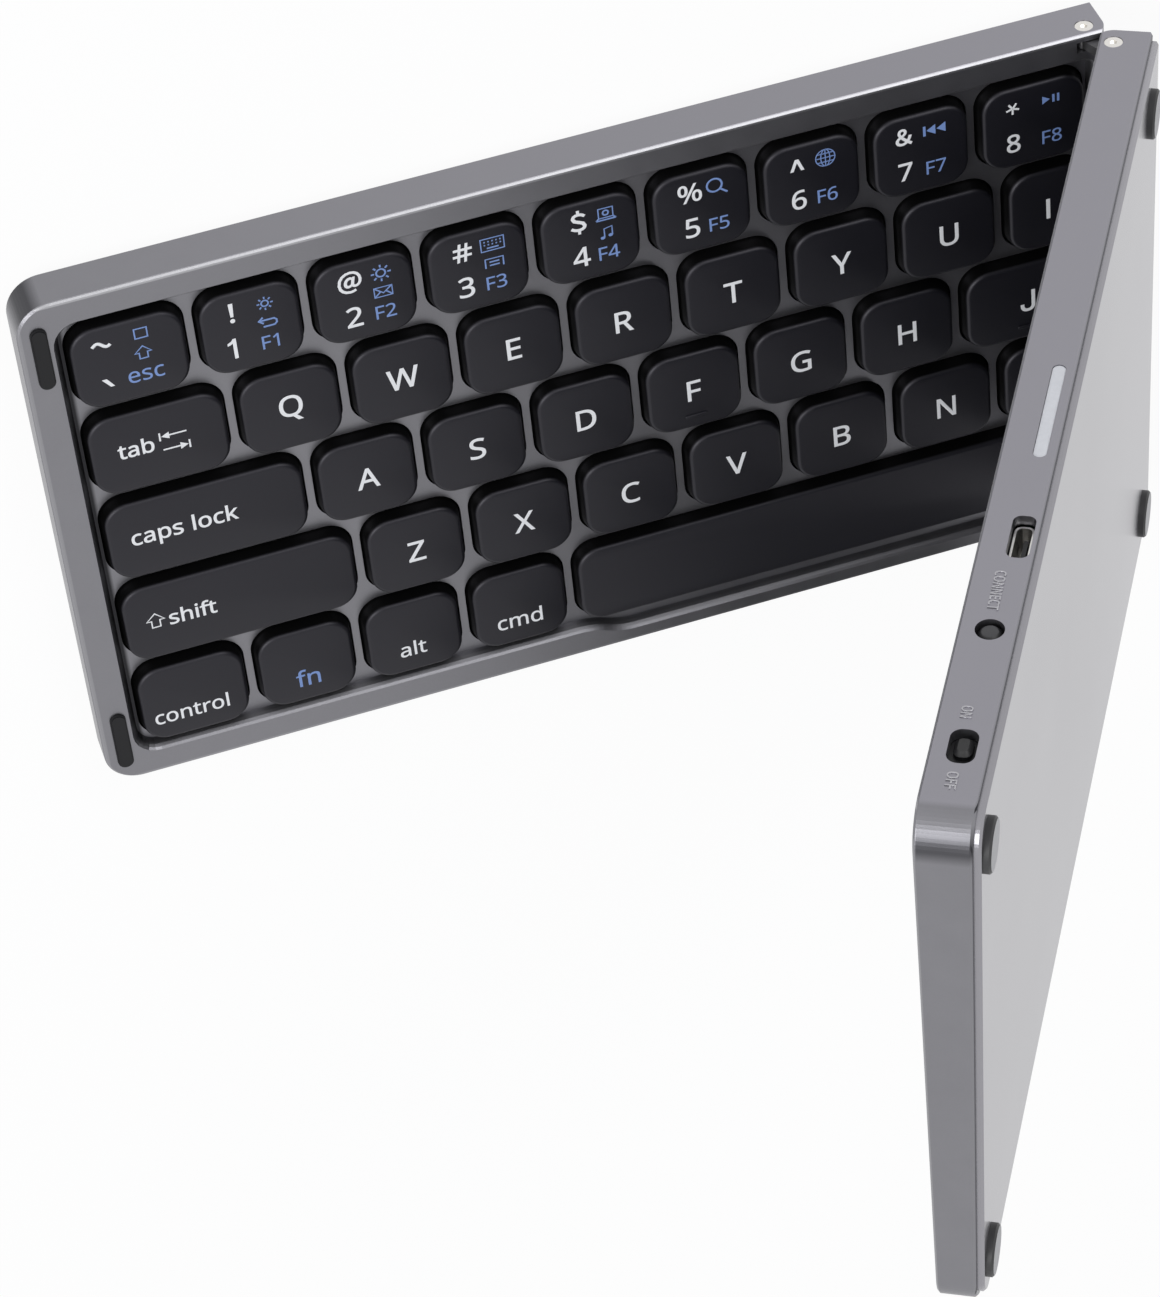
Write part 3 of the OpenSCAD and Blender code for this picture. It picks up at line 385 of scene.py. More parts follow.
# ---------- Feet and bumpers ----------
# Discs of black rubber stuck into the covers, and two soft bumpers a half on the deck.
for half in ("left", "right"):
    rubber, tree, shader, surface = finish(
        half + "_foot_rubber", (0.02, 0.02, 0.021), (0.04, 0.04, 0.042), 0.5,
        grain_scale=3000, bump=0.06)
    # Painted sheen: the face that stands on the desk is painted pale
    down = (nodes[half + "_feet"].matrix_world.inverted() @ to_half(half)).to_3x3() @ Vector(
        (0, 0, -1))
    facing = tree.nodes.new("ShaderNodeVectorMath")
    facing.operation = "DOT_PRODUCT"
    facing.inputs[1].default_value = down.normalized()
    tree.links.new(tree.nodes.new("ShaderNodeTexCoord").outputs["Normal"], facing.inputs[0])
    tree.links.new(mix_colour(tree, ramp(tree, facing.outputs["Value"], 0.85, 0.97),
                              surface.outputs["Color"], (0.4, 0.4, 0.41, 1)),
                   shader.inputs["Base Color"])
    dress(rubber, half + "_feet")
bumper_rubber, *_ = finish("bumper_rubber", (0.009, 0.009, 0.01), (0.018, 0.018, 0.02), 0.6,
                           grain_scale=3000, bump=0.1, specular=0.25)
dress(bumper_rubber, "left_bumpers", "right_bumpers")

# ---------- Hinge ----------
# Two steel links turn on polished pins with socket heads; a flex strip runs between them.
pin_steel, *_ = finish("polished_pin_steel", (0.72, 0.7, 0.67), (0.85, 0.83, 0.8), 0.2,
                       metallic=1.0, grain_scale=2500, spread=0.15, bump=0.02)
link_steel, *_ = finish("dark_link_steel", (0.09, 0.09, 0.095), (0.2, 0.2, 0.2), 0.38,
                        metallic=0.9, grain_scale=2500, spread=0.2, bump=0.05)
flex_film, *_ = finish("amber_flex_film", (0.32, 0.16, 0.05), (0.45, 0.24, 0.08), 0.3,
                       grain_scale=1200, bump=0.02)
dress(pin_steel, "left_hinge_pins", "right_hinge_pins")
dress(link_steel, "rear_hinge_link", "front_hinge_link")
dress(flex_film, "hinge_flex_cable")

# ---------- Key caps ----------
# Black moulded caps with flat tops, leaning sides and round corners. One cap is modelled,
# then copied; a longer key is the same cap with its two ends moved apart.
key_gap, key_wall, key_draft, key_r = 1.45, 1.0, 0.5, 3.9
key_top, key_foot, key_edge = 0.3, -3.0, 0.55
block_hinge, block_rear = 3.5, 87.15
pitch_x, pitch_y = 17.05, 16.53
key_depth = pitch_y - key_gap
plain_w = pitch_x - key_gap
# From the rear, each row's first key in pitches, then how many plain keys follow it; the last
# key fills what is left
left_rows = [(1.117, 7), (1.337, 7), (1.906, 6), (2.24, 6), (1.109, 3)]
right_rows = [(1, 3), (1.226, 3), (0.792, 3), (1.132, 3), (1.804, 3)]


def select_only(thing):
    """Selects one object alone and makes it the active one."""
    bpy.ops.object.select_all(action="DESELECT")
    thing.select_set(True)
    bpy.context.view_layer.objects.active = thing


def pick(thing, wanted, kind="faces"):
    """In edit mode, selects only the faces or edges that `wanted` says yes to."""
    bpy.ops.mesh.select_all(action="DESELECT")
    mesh = bmesh.from_edit_mesh(thing.data)
    for part in getattr(mesh, kind):
        if wanted(part):
            part.select_set(True)
    mesh.select_flush_mode()
    bmesh.update_edit_mesh(thing.data)


bpy.ops.object.select_all(action="DESELECT")
bpy.ops.mesh.primitive_cube_add(size=1)
plain_cap = bpy.context.object
plain_cap.data.transform(Matrix.Translation((0, 0, (key_top + key_foot) / 2))
                         @ Matrix.Diagonal((plain_w, key_depth, key_top - key_foot, 1)))
select_only(plain_cap)
bpy.ops.object.mode_set(mode="EDIT")
bpy.ops.mesh.select_mode(type="EDGE")
pick(plain_cap, lambda e: abs(e.verts[0].co.z - e.verts[1].co.z) > 1, "edges")
bpy.ops.mesh.bevel(offset=key_r, segments=9, affect="EDGES")
bpy.ops.mesh.select_mode(type="FACE")
pick(plain_cap, lambda f: f.normal.z > 0.9)
bpy.ops.transform.resize(value=(1 - 2 * key_draft / plain_w, 1 - 2 * key_draft / key_depth, 1))
bpy.ops.mesh.select_mode(type="EDGE")
pick(plain_cap, lambda e: all(v.co.z > key_top - 0.01 for v in e.verts), "edges")
bpy.ops.mesh.bevel(offset=key_edge, segments=4, affect="EDGES")
bpy.ops.mesh.select_mode(type="FACE")
pick(plain_cap, lambda f: f.normal.z < -0.9)
bpy.ops.mesh.delete(type="FACE")
bpy.ops.object.mode_set(mode="OBJECT")
wall = plain_cap.modifiers.new("wall", "SOLIDIFY")
wall.thickness = key_wall
wall.offset = -1
bpy.ops.object.modifier_apply(modifier="wall")
for v in plain_cap.data.vertices:
    v.co.z = max(v.co.z, key_foot)
bpy.ops.object.shade_smooth_by_angle(angle=math.radians(40))


def key_place(half, row, k):
    """Centre and width of a key: x from the hinge end, y, width."""
    rows, end = (left_rows, left_block_end) if half == "left" else (right_rows, right_block_end)
    first, count = rows[row]
    block = end - block_hinge + key_gap
    cells = [first * pitch_x] + [pitch_x] * count + [block - (first + count) * pitch_x]
    before, width = sum(cells[:k]), cells[k] - key_gap
    y = block_rear - row * pitch_y - key_depth / 2
    if half == "left":
        return left_block_end - before - width / 2, y, width
    return block_hinge + before + width / 2, y, width


def half_x(half, x):
    """x as laid out on the half: the left half counts the other way."""
    return -x if half == "left" else x


def copy_at(plain, half, row, k, to_width=False):
    """A copy of a plain piece at a key's centre, with its ends moved apart to the key's width
    if that is asked for."""
    x, y, width = key_place(half, row, k)
    thing = bpy.data.objects.new(plain.name, plain.data.copy())
    scene.collection.objects.link(thing)
    if to_width:
        for v in thing.data.vertices:
            v.co.x += (width - plain_w) / 2 * math.copysign(1, v.co.x)
    thing.data.transform(Matrix.Translation((half_x(half, x), y, 0)))
    return thing


def join_all(things):
    """Joins things into the first of them."""
    bpy.ops.object.select_all(action="DESELECT")
    for thing in things:
        thing.select_set(True)
    bpy.context.view_layer.objects.active = things[0]
    if len(things) > 1:
        bpy.ops.object.join()
    return things[0]


def joined(things, name, material, matrix):
    """Joins things into one piece, places it and gives it its finish."""
    piece = join_all(things)
    piece.name = piece.data.name = name
    piece.data.transform(matrix)
    piece.data.materials.clear()
    piece.data.materials.append(material)
    return piece


cap_looks = {}
for half in ("left", "right"):
    plastic, tree, shader, surface = finish(
        half + "_key_plastic", (0.003, 0.003, 0.005), (0.007, 0.007, 0.01), 0.42,
        grain_scale=6000, fleck_amount=0.4, cloud_scale=40, cloud_amount=0.3, spread=0.1,
        bump=0.05)
    shader.inputs["Specular Tint"].default_value = (0.93, 0.91, 1, 1)
    # Painted shade: the sides are painted darker than the top, and have less of the top's gloss
    height = own_axes(tree, half, Matrix())[2]
    top_gloss_side_shade = ramp(tree, height, -0.35, 0.12)
    tree.links.new(math_node(tree, "MULTIPLY_ADD", top_gloss_side_shade, 0.3, 0.12),
                   shader.inputs["Specular IOR Level"])
    tree.links.new(mix_colour(tree, top_gloss_side_shade, (0.002, 0.002, 0.002, 1), surface.outputs["Color"]),
                   shader.inputs["Base Color"])
    cap_looks[half] = plastic

# Raised bars that the two index fingers find, sunk a little into their caps
bar_len, bar_w, bar_proud, bar_drop, bar_sunk = 3.4, 0.5, 0.2, 4.69, 0.3
bpy.ops.object.select_all(action="DESELECT")
bpy.ops.mesh.primitive_cube_add(size=1)
plain_bar = bpy.context.object
plain_bar.data.transform(Matrix.Translation((0, -bar_drop, key_top + (bar_proud - bar_sunk) / 2))
                         @ Matrix.Diagonal((bar_len, bar_w, bar_proud + bar_sunk, 1)))
select_only(plain_bar)
bpy.ops.object.mode_set(mode="EDIT")
bpy.ops.mesh.select_mode(type="EDGE")
pick(plain_bar, lambda e: not all(v.co.z < key_top for v in e.verts), "edges")
bpy.ops.mesh.bevel(offset=0.12, segments=3, affect="EDGES")
bpy.ops.object.mode_set(mode="OBJECT")
bpy.ops.object.shade_smooth_by_angle(angle=math.radians(40))

# Which keys, as (row, place in the row), ride on each node
key_groups = {
    "left_escape_key": [(0, 0)],
    "left_number_keys": [(0, k) for k in range(1, 9)],
    "left_tab_key": [(1, 0)],
    "left_upper_letter_keys": [(1, k) for k in range(1, 9)],
    "left_caps_lock_key": [(2, 0)],
    "left_home_letter_keys": [(2, k) for k in range(1, 8)],
    "left_shift_key": [(3, 0)],
    "left_lower_letter_keys": [(3, k) for k in range(1, 8)],
    "left_modifier_keys": [(4, k) for k in range(4)],
    "left_space_key": [(4, 4)],
    "right_number_keys": [(0, k) for k in range(4)],
    "right_backspace_key": [(0, 4)],
    "right_upper_letter_keys": [(1, k) for k in range(4)],
    "right_backslash_key": [(1, 4)],
    "right_home_letter_keys": [(2, k) for k in range(4)],
    "right_return_key": [(2, 4)],
    "right_lower_letter_keys": [(3, k) for k in range(3)],
    "right_shift_key": [(3, 4)],
    "right_space_key": [(4, 0)],
    "right_alt_key": [(4, 1)],
    "right_arrow_keys": [(3, 3), (4, 2), (4, 3), (4, 4)],
}
for node, keys in key_groups.items():
    half = node.split("_")[0]
    caps = [copy_at(plain_cap, half, row, k, to_width=True) for row, k in keys]
    if node == "left_home_letter_keys":
        caps += [copy_at(plain_bar, half, 2, 4), copy_at(plain_bar, half, 2, 7)]
    piece = joined(caps, node.replace("_keys", "_caps").replace("_key", "_cap"),
                   cap_looks[half], to_half(half))
    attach(piece, node)
    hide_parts(node)
bpy.data.objects.remove(plain_cap)
bpy.data.objects.remove(plain_bar)

# ---------- Legends ----------
# Letters, digits and small icons printed on the caps in white, and the second functions in
# blue. The ink stands a hair over the plastic.
ink_height, ink_t = 0.012, 0.03
capital_share = 0.745  # a capital's height as a share of the font's size
# Where the font keeps its sans letters and digits, its wide marks and its long J
sans_capitals, sans_smalls, sans_digits = 0x1D5A0, 0x1D5BA, 0x1D7E2
wide_marks, long_j = 0xFEE0, 0x408


def sans(text):
    """The same words in the upright sans face that the built-in font keeps elsewhere."""
    out = ""
    for c in text:
        if c == "J":
            out += chr(long_j)
        elif "A" <= c <= "Z" and c != "I":
            out += chr(sans_capitals + ord(c) - ord("A"))
        elif "a" <= c <= "z":
            out += chr(sans_smalls + ord(c) - ord("a"))
        elif "0" <= c <= "9":
            out += chr(sans_digits + ord(c) - ord("0"))
        elif c in "~`!@#$%^&*":
            out += chr(wide_marks + ord(c))
        else:
            out += c
    return out


def lettering(text, cap_height, boldness, thick):
    """Words as a flat-lying mesh, centred on its own outline."""
    data = bpy.data.curves.new("lettering", "FONT")
    data.body = sans(text)
    data.size = cap_height / capital_share
    data.bevel_depth = boldness
    data.bevel_resolution = 1
    data.extrude = thick / 2
    data.resolution_u = 4
    words = bpy.data.objects.new("lettering", data)
    scene.collection.objects.link(words)
    select_only(words)
    bpy.ops.object.convert(target="MESH")
    words = bpy.context.object
    xs = [v.co.x for v in words.data.vertices]
    ys = [v.co.y for v in words.data.vertices]
    words.data.transform(Matrix.Diagonal((1, 1, thick / (thick + 2 * boldness), 1))
                         @ Matrix.Translation((-(min(xs) + max(xs)) / 2,
                                               -(min(ys) + max(ys)) / 2, 0)))
    return words


def drawn(strokes, solids, pen):
    """A small picture of pen strokes, `pen` wide, and filled outlines: flat, as one mesh."""
    parts = []
    for lines, width in ((strokes, pen), (solids, 0)):
        if not lines:
            continue
        data = bpy.data.curves.new("picture", "CURVE")
        data.dimensions = "3D" if width else "2D"
        data.bevel_depth = width / 2
        data.bevel_resolution = 1
        data.extrude = 0 if width else ink_t / 2
        if not width:
            data.fill_mode = "BOTH"
        for line in lines:
            closed = line[0] == line[-1] or not width
            points = line[:-1] if line[0] == line[-1] else line
            spline = data.splines.new("POLY")
            spline.points.add(len(points) - 1)
            for point, (x, y) in zip(spline.points, points):
                point.co = (x, y, 0, 1)
            spline.use_cyclic_u = closed
        picture = bpy.data.objects.new("picture", data)
        scene.collection.objects.link(picture)
        select_only(picture)
        bpy.ops.object.convert(target="MESH")
        picture = bpy.context.object
        if width:
            picture.data.transform(Matrix.Diagonal((1, 1, ink_t / width, 1)))
        parts.append(picture)
    return join_all(parts)


def ring(x, y, wide, high=None, steps=20):
    """A closed oval line."""
    high = high or wide
    turns = [2 * math.pi * i / steps for i in range(steps)]
    line = [(x + wide * math.cos(a), y + high * math.sin(a)) for a in turns]
    return line + line[:1]


def box(x, y, wide, high):
    """A closed rectangle round (x, y)."""
    return [(x + wide / 2 * a, y + high / 2 * b)
            for a, b in ((-1, -1), (1, -1), (1, 1), (-1, 1), (-1, -1))]


def rays(inner, outer):
    """Eight short lines round the origin."""
    return [[(r * math.cos(math.pi * i / 4), r * math.sin(math.pi * i / 4))
             for r in (inner, outer)] for i in range(8)]


white_ink, *_ = finish("white_key_ink", (0.8, 0.81, 0.83), (0.86, 0.87, 0.89), 0.5,
                       grain_scale=5000, bump=0.02)
blue_ink, *_ = finish("blue_key_ink", (0.17, 0.27, 0.56), (0.22, 0.33, 0.62), 0.5,
                      grain_scale=5000, bump=0.02)
white_prints, blue_prints = {}, {}


def on_key(prints, node, row, k, u, v, what, height=2.4, bold=0.06):
    """Prints words, or a picture as (strokes, solids, pen), u right of and v above a key's
    centre."""
    half = node.split("_")[0]
    x, y, _ = key_place(half, row, k)
    words = drawn(*what) if isinstance(what, tuple) else lettering(what, height, bold, ink_t)
    words.data.transform(Matrix.Translation((half_x(half, x) + u, y + v, key_top + ink_height)))
    prints.setdefault(node, []).append(words)


letter_h, digit_h, label_h, word_h = 3.9, 3.6, 2.4, 2.8
one = ([], [[(0.32, -1.8), (0.32, 1.8), (-0.14, 1.8), (-0.4, 1.42), (-1.0, 1.1), (-1.0, 0.66),
             (-0.55, 0.8), (-0.22, 1.0), (-0.22, -1.8)]], 0)
for node, row, k, letters in (
        ("left_upper_letter_keys", 1, 1, "QWERTYUI"), ("left_home_letter_keys", 2, 1, "ASDFGHJ"),
        ("left_lower_letter_keys", 3, 1, "ZXCVBNM"), ("right_upper_letter_keys", 1, 0, "OP[]"),
        ("right_home_letter_keys", 2, 0, "KL;'"), ("right_lower_letter_keys", 3, 0, ",./")):
    for i, letter in enumerate(letters):
        on_key(white_prints, node, row, k + i, 0, 0.45 if letter in "QWE" else 0.1, letter,
               letter_h)

# Small pictures on the number keys, each about 3 mm wide
sun_small = (rays(0.8, 1.2) + [ring(0, 0, 0.52)], [], 0.27)
sun_large = (rays(1.0, 1.5) + [ring(0, 0, 0.68)], [], 0.3)
go_back = ([[(-1.2, 0.4), (1.0, 0.4), (1.35, 0.1), (1.35, -0.4), (1.0, -0.75), (-0.7, -0.75)],
            [(-0.6, 0.95), (-1.3, 0.4), (-0.6, -0.15)]], [], 0.34)
envelope = ([box(0, 0, 2.7, 1.7), [(-1.3, 0.8), (0, -0.25), (1.3, 0.8)],
             [(-1.3, -0.8), (-0.4, 0.05)], [(1.3, -0.8), (0.4, 0.05)]], [], 0.26)
tiny_keys = ([box(0, 0, 3.5, 2.2), [(-0.9, -0.62), (0.9, -0.62)]]
             + [[(x, y), (x + 0.22, y)] for y in (0.55, 0.0)
                for x in [-1.3 + 0.6 * i for i in range(5)]], [], 0.28)
page = ([[(-1.35, -0.8), (-1.35, 0.8), (1.35, 0.8), (1.35, -0.8)], [(-0.75, 0.2), (0.75, 0.2)],
         [(-0.75, -0.4), (0.75, -0.4)]], [], 0.28)
laptop = ([box(0, 0.25, 2.2, 1.7), ring(0, 0.25, 0.42), [(-1.5, -1.0), (1.5, -1.0)],
           [(-1.1, -0.6), (-1.5, -1.0)], [(1.1, -0.6), (1.5, -1.0)]], [], 0.28)
notes = ([[(-0.45, -0.75), (-0.45, 0.8), (0.75, 1.05), (0.75, -0.5)]],
         [ring(-0.75, -0.78, 0.36, 0.27, 10), ring(0.45, -0.53, 0.36, 0.27, 10)], 0.24)
finder = ([ring(-0.3, 0.25, 1.15), [(0.55, -0.6), (1.6, -1.45)]], [], 0.34)
globe = ([ring(0, 0, 1.5), ring(0, 0, 0.7, 1.5), [(0, -1.5), (0, 1.5)], [(-1.5, 0), (1.5, 0)],
          [(-1.25, 0.75), (1.25, 0.75)], [(-1.25, -0.75), (1.25, -0.75)]], [], 0.18)
rewind = ([], [[(x - 0.7, 0), (x + 0.7, 0.88), (x + 0.7, -0.88)] for x in (-0.6, 0.98)]
          + [box(-1.62, 0, 0.4, 1.76)[:4]], 0)
play = ([], [[(-1.4, 0.7), (-0.2, 0), (-1.4, -0.7)], box(0.35, 0, 0.36, 1.4)[:4],
             box(1.1, 0, 0.36, 1.4)[:4]], 0)
caret = ([], [[(-1.1, -1.05), (-0.28, 1.05), (0.28, 1.05), (1.1, -1.05), (0.58, -1.05), (0, 0.42),
               (-0.58, -1.05)]], 0)
star = ([[(-1.05 * math.cos(a), -1.05 * math.sin(a)), (0, 0)]
         for a in [math.pi * (0.5 + 0.4 * i) for i in range(5)]], [], 0.36)
# Per number key: digit, its share of the full height and its x; mark above it, its
# height and x; x of the blue prints, then the blue pictures as (y, picture)
number_prints = [
    (one, 1, -2.9, "!", 3.3, -2.57, 2.4, [(4.0, sun_small), (0.6, go_back)]),
    ("2", 1, -2.0, "@", 3.1, -2.0, 2.7, [(4.0, sun_large), (0.6, envelope)]),
    ("3", 1, -2.1, "#", 3.1, -2.1, 2.45, [(4.0, tiny_keys), (0.6, page)]),
    ("4", 0.98, -1.6, "$", 3.1, -1.6, 2.6, [(4.0, laptop), (0.6, notes)]),
    ("5", 0.97, -1.6, "%", 3.1, -1.6, 2.5, [(3.8, finder)]),
    ("6", 0.95, -2.15, caret, 3.1, -2.15, 2.25, [(3.8, globe)]),
    ("7", 0.9, -2.6, "&", 2.8, -2.6, 2.2, [(3.8, rewind)]),
    ("8", 0.9, -3.3, star, 2.7, -3.3, 2.75, [(3.8, play)]),
]
for k, (digit, size, digit_x, mark, mark_h, mark_x, blue_x, pictures) in enumerate(
        number_prints, start=1):
    key = ("left_number_keys", 0, k)
    on_key(white_prints, *key, digit_x, -2.65, digit, digit_h * size)
    on_key(white_prints, *key, mark_x, 3.7, mark, mark_h, 0.09)
    on_key(blue_prints, *key, blue_x, -3.0, "F" + str(k), label_h, 0.02)
    for v, picture in pictures:
        on_key(blue_prints, *key, blue_x, v, picture)

escape = ("left_escape_key", 0, 0)
wave = [(-1.35 + 0.27 * i, 0.42 * math.sin(-0.3 + 2 * math.pi * i / 10)) for i in range(11)]
on_key(white_prints, *escape, -3.75, 4.1, ([wave], [], 0.58))
on_key(white_prints, *escape, -3.75, -2.9, ([], [[(-0.85, 0.8), (-0.1, 0.8), (0.9, -0.7),
                                                  (0.3, -0.7)]], 0))
on_key(blue_prints, *escape, 2.14, 4.5, ([box(0, 0, 1.85, 1.7)], [], 0.34))
on_key(blue_prints, *escape, 2.03, 1.0,
       ([[(0, 1.15), (1.25, 0), (0.62, 0), (0.62, -1.05), (-0.62, -1.05), (-0.62, 0),
          (-1.25, 0), (0, 1.15)]], [], 0.32))
on_key(blue_prints, *escape, 1.92, -3.0, "esc", 2.75, 0.02)
tab = ("left_tab_key", 1, 0)
arrow = [[(-0.75, 0), (2.0, 0)], [(-2.0, -0.75), (-2.0, 0.75)]]
head = [[(-1.8, 0), (-0.6, 0.62), (-0.6, -0.62)]]
mirrored = [[[(-x, y) for x, y in line] for line in lines] for lines in (arrow, head)]
on_key(white_prints, *tab, -3.5, 0.65, "tab", 2.7)
on_key(white_prints, *tab, 2.2, 1.5, (arrow, head, 0.3))
on_key(white_prints, *tab, 2.4, -1.0, (*mirrored, 0.3))
on_key(white_prints, "left_caps_lock_key", 2, 0, -3.4, 0.2, "caps lock", 2.85)
on_key(white_prints, "left_shift_key", 3, 0, -13.2, 0.4,
       ([[(0, 1.35), (1.4, 0), (0.65, 0), (0.65, -1.3), (-0.65, -1.3), (-0.65, 0), (-1.4, 0),
          (0, 1.35)]], [], 0.32))
on_key(white_prints, "left_shift_key", 3, 0, -7.46, 0.25, "shift", 2.72)
for k, u, word, height, prints in ((0, -0.68, "control", 2.7, white_prints),
                                   (1, -0.2, "fn", 3.2, blue_prints),
                                   (2, -0.45, "alt", 2.75, white_prints),
                                   (3, -0.3, "cmd", 2.82, white_prints)):
    on_key(prints, "left_modifier_keys", 4, k, u, -2.4, word, height, 0.04)

for k, (low, high) in enumerate((("9", "("), ("0", ")"), ("-", "_"), ("=", "+"))):
    on_key(white_prints, "right_number_keys", 0, k, -2.2, -2.65, low, digit_h)
    on_key(white_prints, "right_number_keys", 0, k, -2.2, 3.2, high, 2.8)
    on_key(blue_prints, "right_number_keys", 0, k, 2.4, -3.0, "F" + str(9 + k), label_h, 0.02)
for node, row, k, word in (("right_backspace_key", 0, 4, "backspace"),
                           ("right_backslash_key", 1, 4, "\\"),
                           ("right_return_key", 2, 4, "return"),
                           ("right_shift_key", 3, 4, "shift"), ("right_alt_key", 4, 1, "alt")):
    on_key(white_prints, node, row, k, 0, -2.4 if row == 4 else 0.2, word, word_h)
for row, k, turn in ((3, 3, 0), (4, 2, 90), (4, 3, 180), (4, 4, 270)):
    a = math.radians(turn)
    tip = [(x * math.cos(a) - y * math.sin(a), x * math.sin(a) + y * math.cos(a))
           for x, y in ((0, 1.2), (1.2, -0.9), (-1.2, -0.9))]
    on_key(white_prints, "right_arrow_keys", row, k, 0, 0, ([], [tip], 0))

for prints, ink, tint in ((white_prints, white_ink, "white"), (blue_prints, blue_ink, "blue")):
    for node, words in prints.items():
        half = node.split("_")[0]
        piece = joined(words, node.split("_key")[0] + "_" + tint + "_legends", ink, to_half(half))
        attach(piece, node)

# ---------- Touchpad ----------
# A sheet of black glass with a soft matt coat, set flush in the right half's deck.
touch_glass, _, touch_shader, _ = finish(
    "touchpad_glass", (0.014, 0.014, 0.016), (0.026, 0.026, 0.028), 0.3, grain_scale=5000,
    bump=0.01)
touch_shader.inputs["Coat Weight"].default_value = 0.3
touch_shader.inputs["Coat Roughness"].default_value = 0.25
dress(touch_glass, "touchpad_plate")

# ---------- Words on the rear wall ----------
# Raised words moulded with the right half's case, beside the button and the power slide.
# Their paint is lighter than the case's.
word_proud, moulded_h, moulded_t = 0.04, 1.5, 0.2
wall_words = []
for text, x, depth, squeeze in (("CONNECT", 122.15, 3.9, 0.8), ("ON", 144.9, 3.7, 0.75),
                                ("OFF", 157.2, 3.8, 0.85)):
    word = lettering(text, moulded_h, 0.035, moulded_t)
    word.data.transform(Matrix(((squeeze, 0, 0, x), (0, 0, 1, half_depth + word_proud),
                                (0, -1, 0, -depth), (0, 0, 0, 1))))
    wall_words.append(word)
word_paint, *_ = finish("light_word_paint", (0.4, 0.395, 0.42), (0.5, 0.5, 0.52), 0.3,
                        metallic=0.95, grain_scale=4000, bump=0.05)
piece = joined(wall_words, "rear_wall_words", word_paint, right_frame)
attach(piece, "right_half")

# ---------- Light window and charging socket ----------
# A bar of milky plastic that the status lights shine through, and a drawn steel socket with
# its black tongue, both set in openings of the right half's rear wall.
window_plastic, _, window_shader, _ = finish(
    "milky_window", (0.56, 0.57, 0.6), (0.72, 0.73, 0.76), 0.35, grain_scale=1500,
    fleck_amount=0.5, cloud_scale=300, cloud_amount=0.4, bump=0.05)
window_shader.inputs["Subsurface Weight"].default_value = 0.2
window_shader.inputs["Subsurface Radius"].default_value = (millimetre,) * 3
socket_steel, *_ = finish("socket_steel", (0.62, 0.61, 0.59), (0.75, 0.74, 0.72), 0.28,
                          metallic=1.0, grain_scale=3000, spread=0.15, bump=0.04)
socket_plastic, *_ = finish("socket_tongue", (0.015, 0.015, 0.016), (0.03, 0.03, 0.03), 0.5,
                            grain_scale=3000)
dress(window_plastic, "light_window")
dress(socket_steel, "usb_receptacle")
dress(socket_plastic, "usb_tongue")

# ---------- Connect button ----------
# A round cap of black plastic with a sloping side, on a flange that keeps it in the wall. It
# is modelled lying flat, outer face up, then stood into the wall.
connect_x, button_z, wall_t = half_len - 35.8, -4.15, 1.6
button_r, button_sunk, button_slope, button_edge = 1.7, 0.3, 0.62, 0.1
flange_r, flange_t, flange_gap = 2.2, 0.7, 0.05


def into_wall(x):
    """From lying flat at the origin to standing in the rear wall, outer face outward."""
    return Matrix(((1, 0, 0, x), (0, 0, 1, half_depth), (0, -1, 0, button_z), (0, 0, 0, 1)))


button_plastic, tree, shader, surface = finish(
    "button_plastic", (0.006, 0.006, 0.007), (0.014, 0.014, 0.015), 0.45, grain_scale=4000,
    bump=0.08)
# The outermost facets are a lighter black
outer_facets = ramp(tree, own_axes(tree, "right", Matrix())[1], half_depth - 0.42, half_depth - 0.32)
tree.links.new(mix_colour(tree, outer_facets, surface.outputs["Color"], (0.035, 0.035, 0.038, 1)),
               shader.inputs["Base Color"])

bpy.ops.object.select_all(action="DESELECT")
bpy.ops.mesh.primitive_cylinder_add(vertices=48, radius=button_r, depth=wall_t)
button_cap = bpy.context.object
button_cap.data.transform(Matrix.Translation((0, 0, -button_sunk - wall_t / 2)))
select_only(button_cap)
bpy.ops.object.mode_set(mode="EDIT")
bpy.ops.mesh.select_mode(type="FACE")
pick(button_cap, lambda f: f.normal.z > 0.9)
bpy.ops.mesh.bevel(offset=button_slope, segments=1, affect="EDGES")
bpy.ops.object.mode_set(mode="OBJECT")
soften = button_cap.modifiers.new("soften", "BEVEL")
soften.width = button_edge
soften.segments = 2
soften.angle_limit = math.radians(30)
bpy.ops.object.modifier_apply(modifier="soften")
bpy.ops.object.shade_smooth_by_angle(angle=math.radians(25))
bpy.ops.object.select_all(action="DESELECT")
bpy.ops.mesh.primitive_cylinder_add(vertices=48, radius=flange_r, depth=flange_t)
flange = bpy.context.object
flange.data.transform(Matrix.Translation((0, 0, -wall_t - flange_gap - flange_t / 2)))
piece = joined([button_cap, flange], "connect_cap", button_plastic,
               right_frame @ into_wall(connect_x))
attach(piece, "connect_button")
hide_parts("connect_button")

# ---------- Power knob ----------
# A small block of the same plastic with sloping sides, on a plate that slides behind the
# rear wall.
power_x = half_len - 15.05
knob_len, knob_high, knob_t, knob_sunk, knob_r, knob_slope = 3.4, 2.5, 1.5, 0.5, 1.05, 0.55
slide_len, slide_high, slide_t, slide_gap = 8.5, 4.3, 0.5, 0.1
bpy.ops.object.select_all(action="DESELECT")
bpy.ops.mesh.primitive_cube_add(size=1)
knob = bpy.context.object
knob.data.transform(Matrix.Translation((0, 0, -knob_sunk - knob_t / 2))
                    @ Matrix.Diagonal((knob_len, knob_high, knob_t, 1)))
select_only(knob)
bpy.ops.object.mode_set(mode="EDIT")
bpy.ops.mesh.select_mode(type="EDGE")
pick(knob, lambda e: abs(e.verts[0].co.z - e.verts[1].co.z) > 1, "edges")
bpy.ops.mesh.bevel(offset=knob_r, segments=7, affect="EDGES")
bpy.ops.mesh.select_mode(type="FACE")
pick(knob, lambda f: f.normal.z > 0.9)
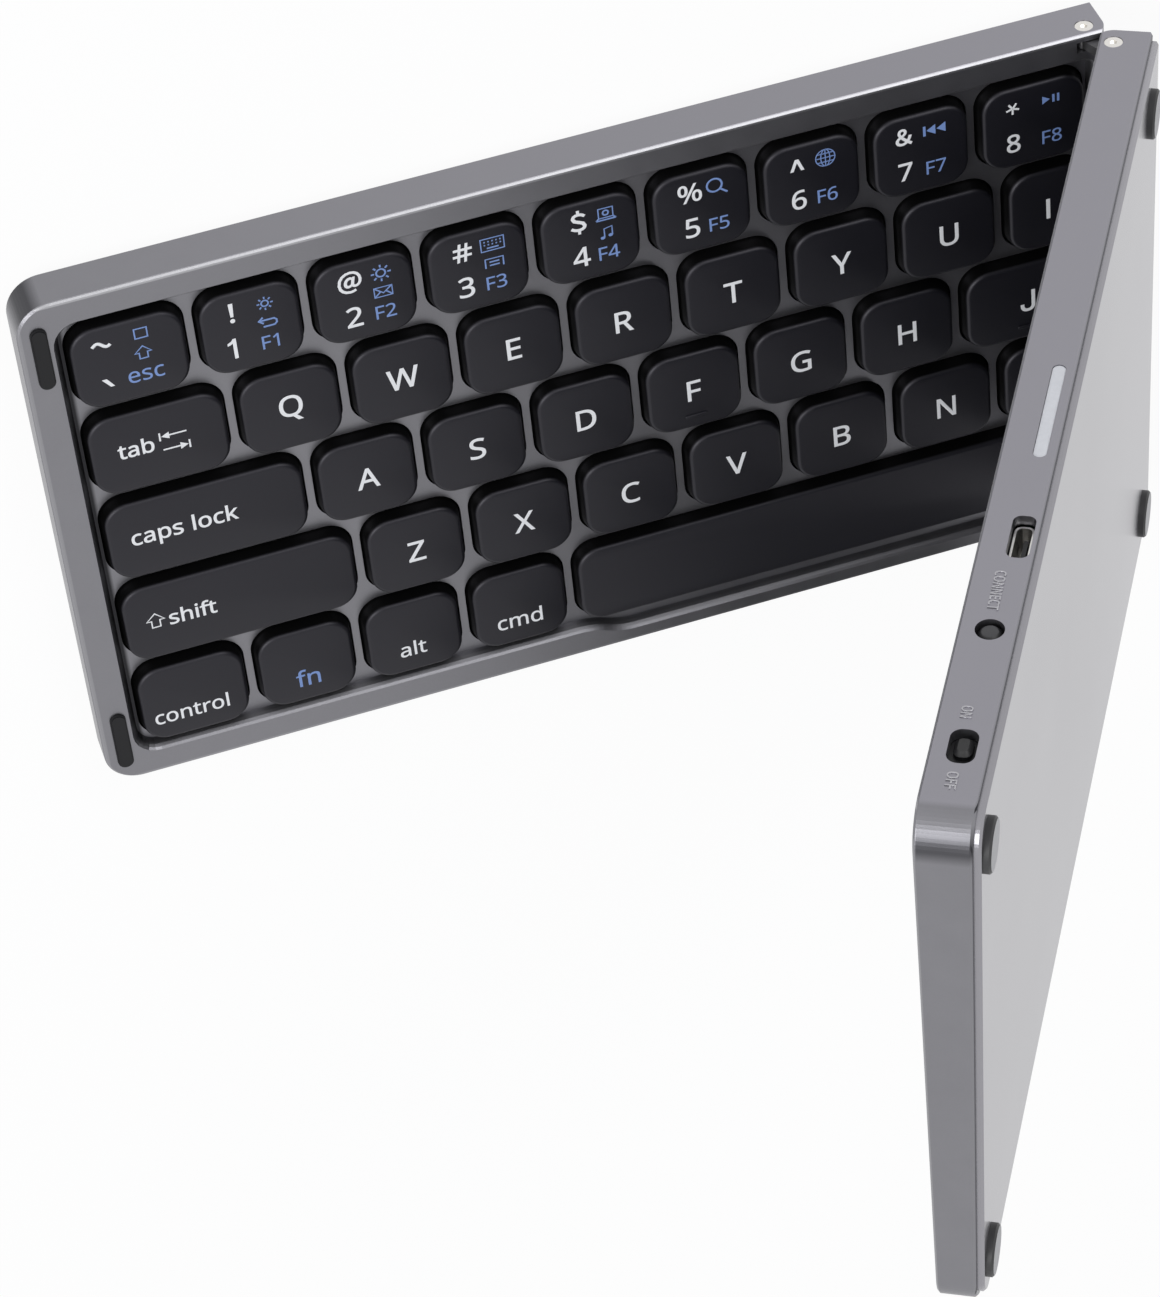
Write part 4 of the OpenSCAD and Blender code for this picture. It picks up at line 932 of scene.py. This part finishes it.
bpy.ops.mesh.bevel(offset=knob_slope, segments=1, affect="EDGES")
bpy.ops.object.mode_set(mode="OBJECT")
bpy.ops.object.shade_smooth_by_angle(angle=math.radians(25))
bpy.ops.object.select_all(action="DESELECT")
bpy.ops.mesh.primitive_cube_add(size=1)
slide = bpy.context.object
slide.data.transform(Matrix.Translation((0, 0, -wall_t - slide_gap - slide_t / 2))
                     @ Matrix.Diagonal((slide_len, slide_high, slide_t, 1)))
piece = joined([knob, slide], "power_slide_knob", button_plastic, right_frame @ into_wall(power_x))
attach(piece, "power_knob")
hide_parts("power_knob")

# ---------- Inside ----------
# Boards of green glass fibre, a black dome sheet, a foil-wrapped flat cell, nickel-plated
# magnets, zinc-plated screws and small tinned switches.
board_green, *_ = finish("green_board", (0.012, 0.075, 0.04), (0.03, 0.12, 0.07), 0.45,
                         grain_scale=1500, bump=0.1)
dome_rubber, *_ = finish("dome_rubber", (0.05, 0.05, 0.052), (0.09, 0.09, 0.09), 0.6,
                         grain_scale=2500, bump=0.1)
cell_foil, *_ = finish("cell_foil", (0.55, 0.56, 0.58), (0.7, 0.71, 0.72), 0.35, metallic=0.8,
                       grain_scale=900, bump=0.2)
nickel, *_ = finish("nickel_plate", (0.66, 0.64, 0.6), (0.76, 0.74, 0.7), 0.25, metallic=1.0,
                    grain_scale=2500, bump=0.03)
screw_zinc, *_ = finish("screw_zinc", (0.55, 0.55, 0.56), (0.7, 0.7, 0.7), 0.35, metallic=1.0,
                        grain_scale=2500, bump=0.08)
switch_tin, *_ = finish("switch_tin", (0.5, 0.5, 0.5), (0.62, 0.62, 0.62), 0.4, metallic=0.9,
                        grain_scale=2500, bump=0.05)
light_white, *_ = finish("light_white", (0.8, 0.82, 0.78), (0.9, 0.92, 0.85), 0.4,
                         grain_scale=3000)
dress(board_green, "left_switch_board", "right_switch_board", "main_board", "touchpad_board")
dress(dome_rubber, "left_dome_sheet", "right_dome_sheet")
dress(cell_foil, "battery")
dress(nickel, "left_magnets", "right_magnets")
dress(screw_zinc, "left_board_screws", "right_board_screws", "main_board_screws")
dress(switch_tin, "connect_switch", "power_switch")
dress(light_white, "status_lights")
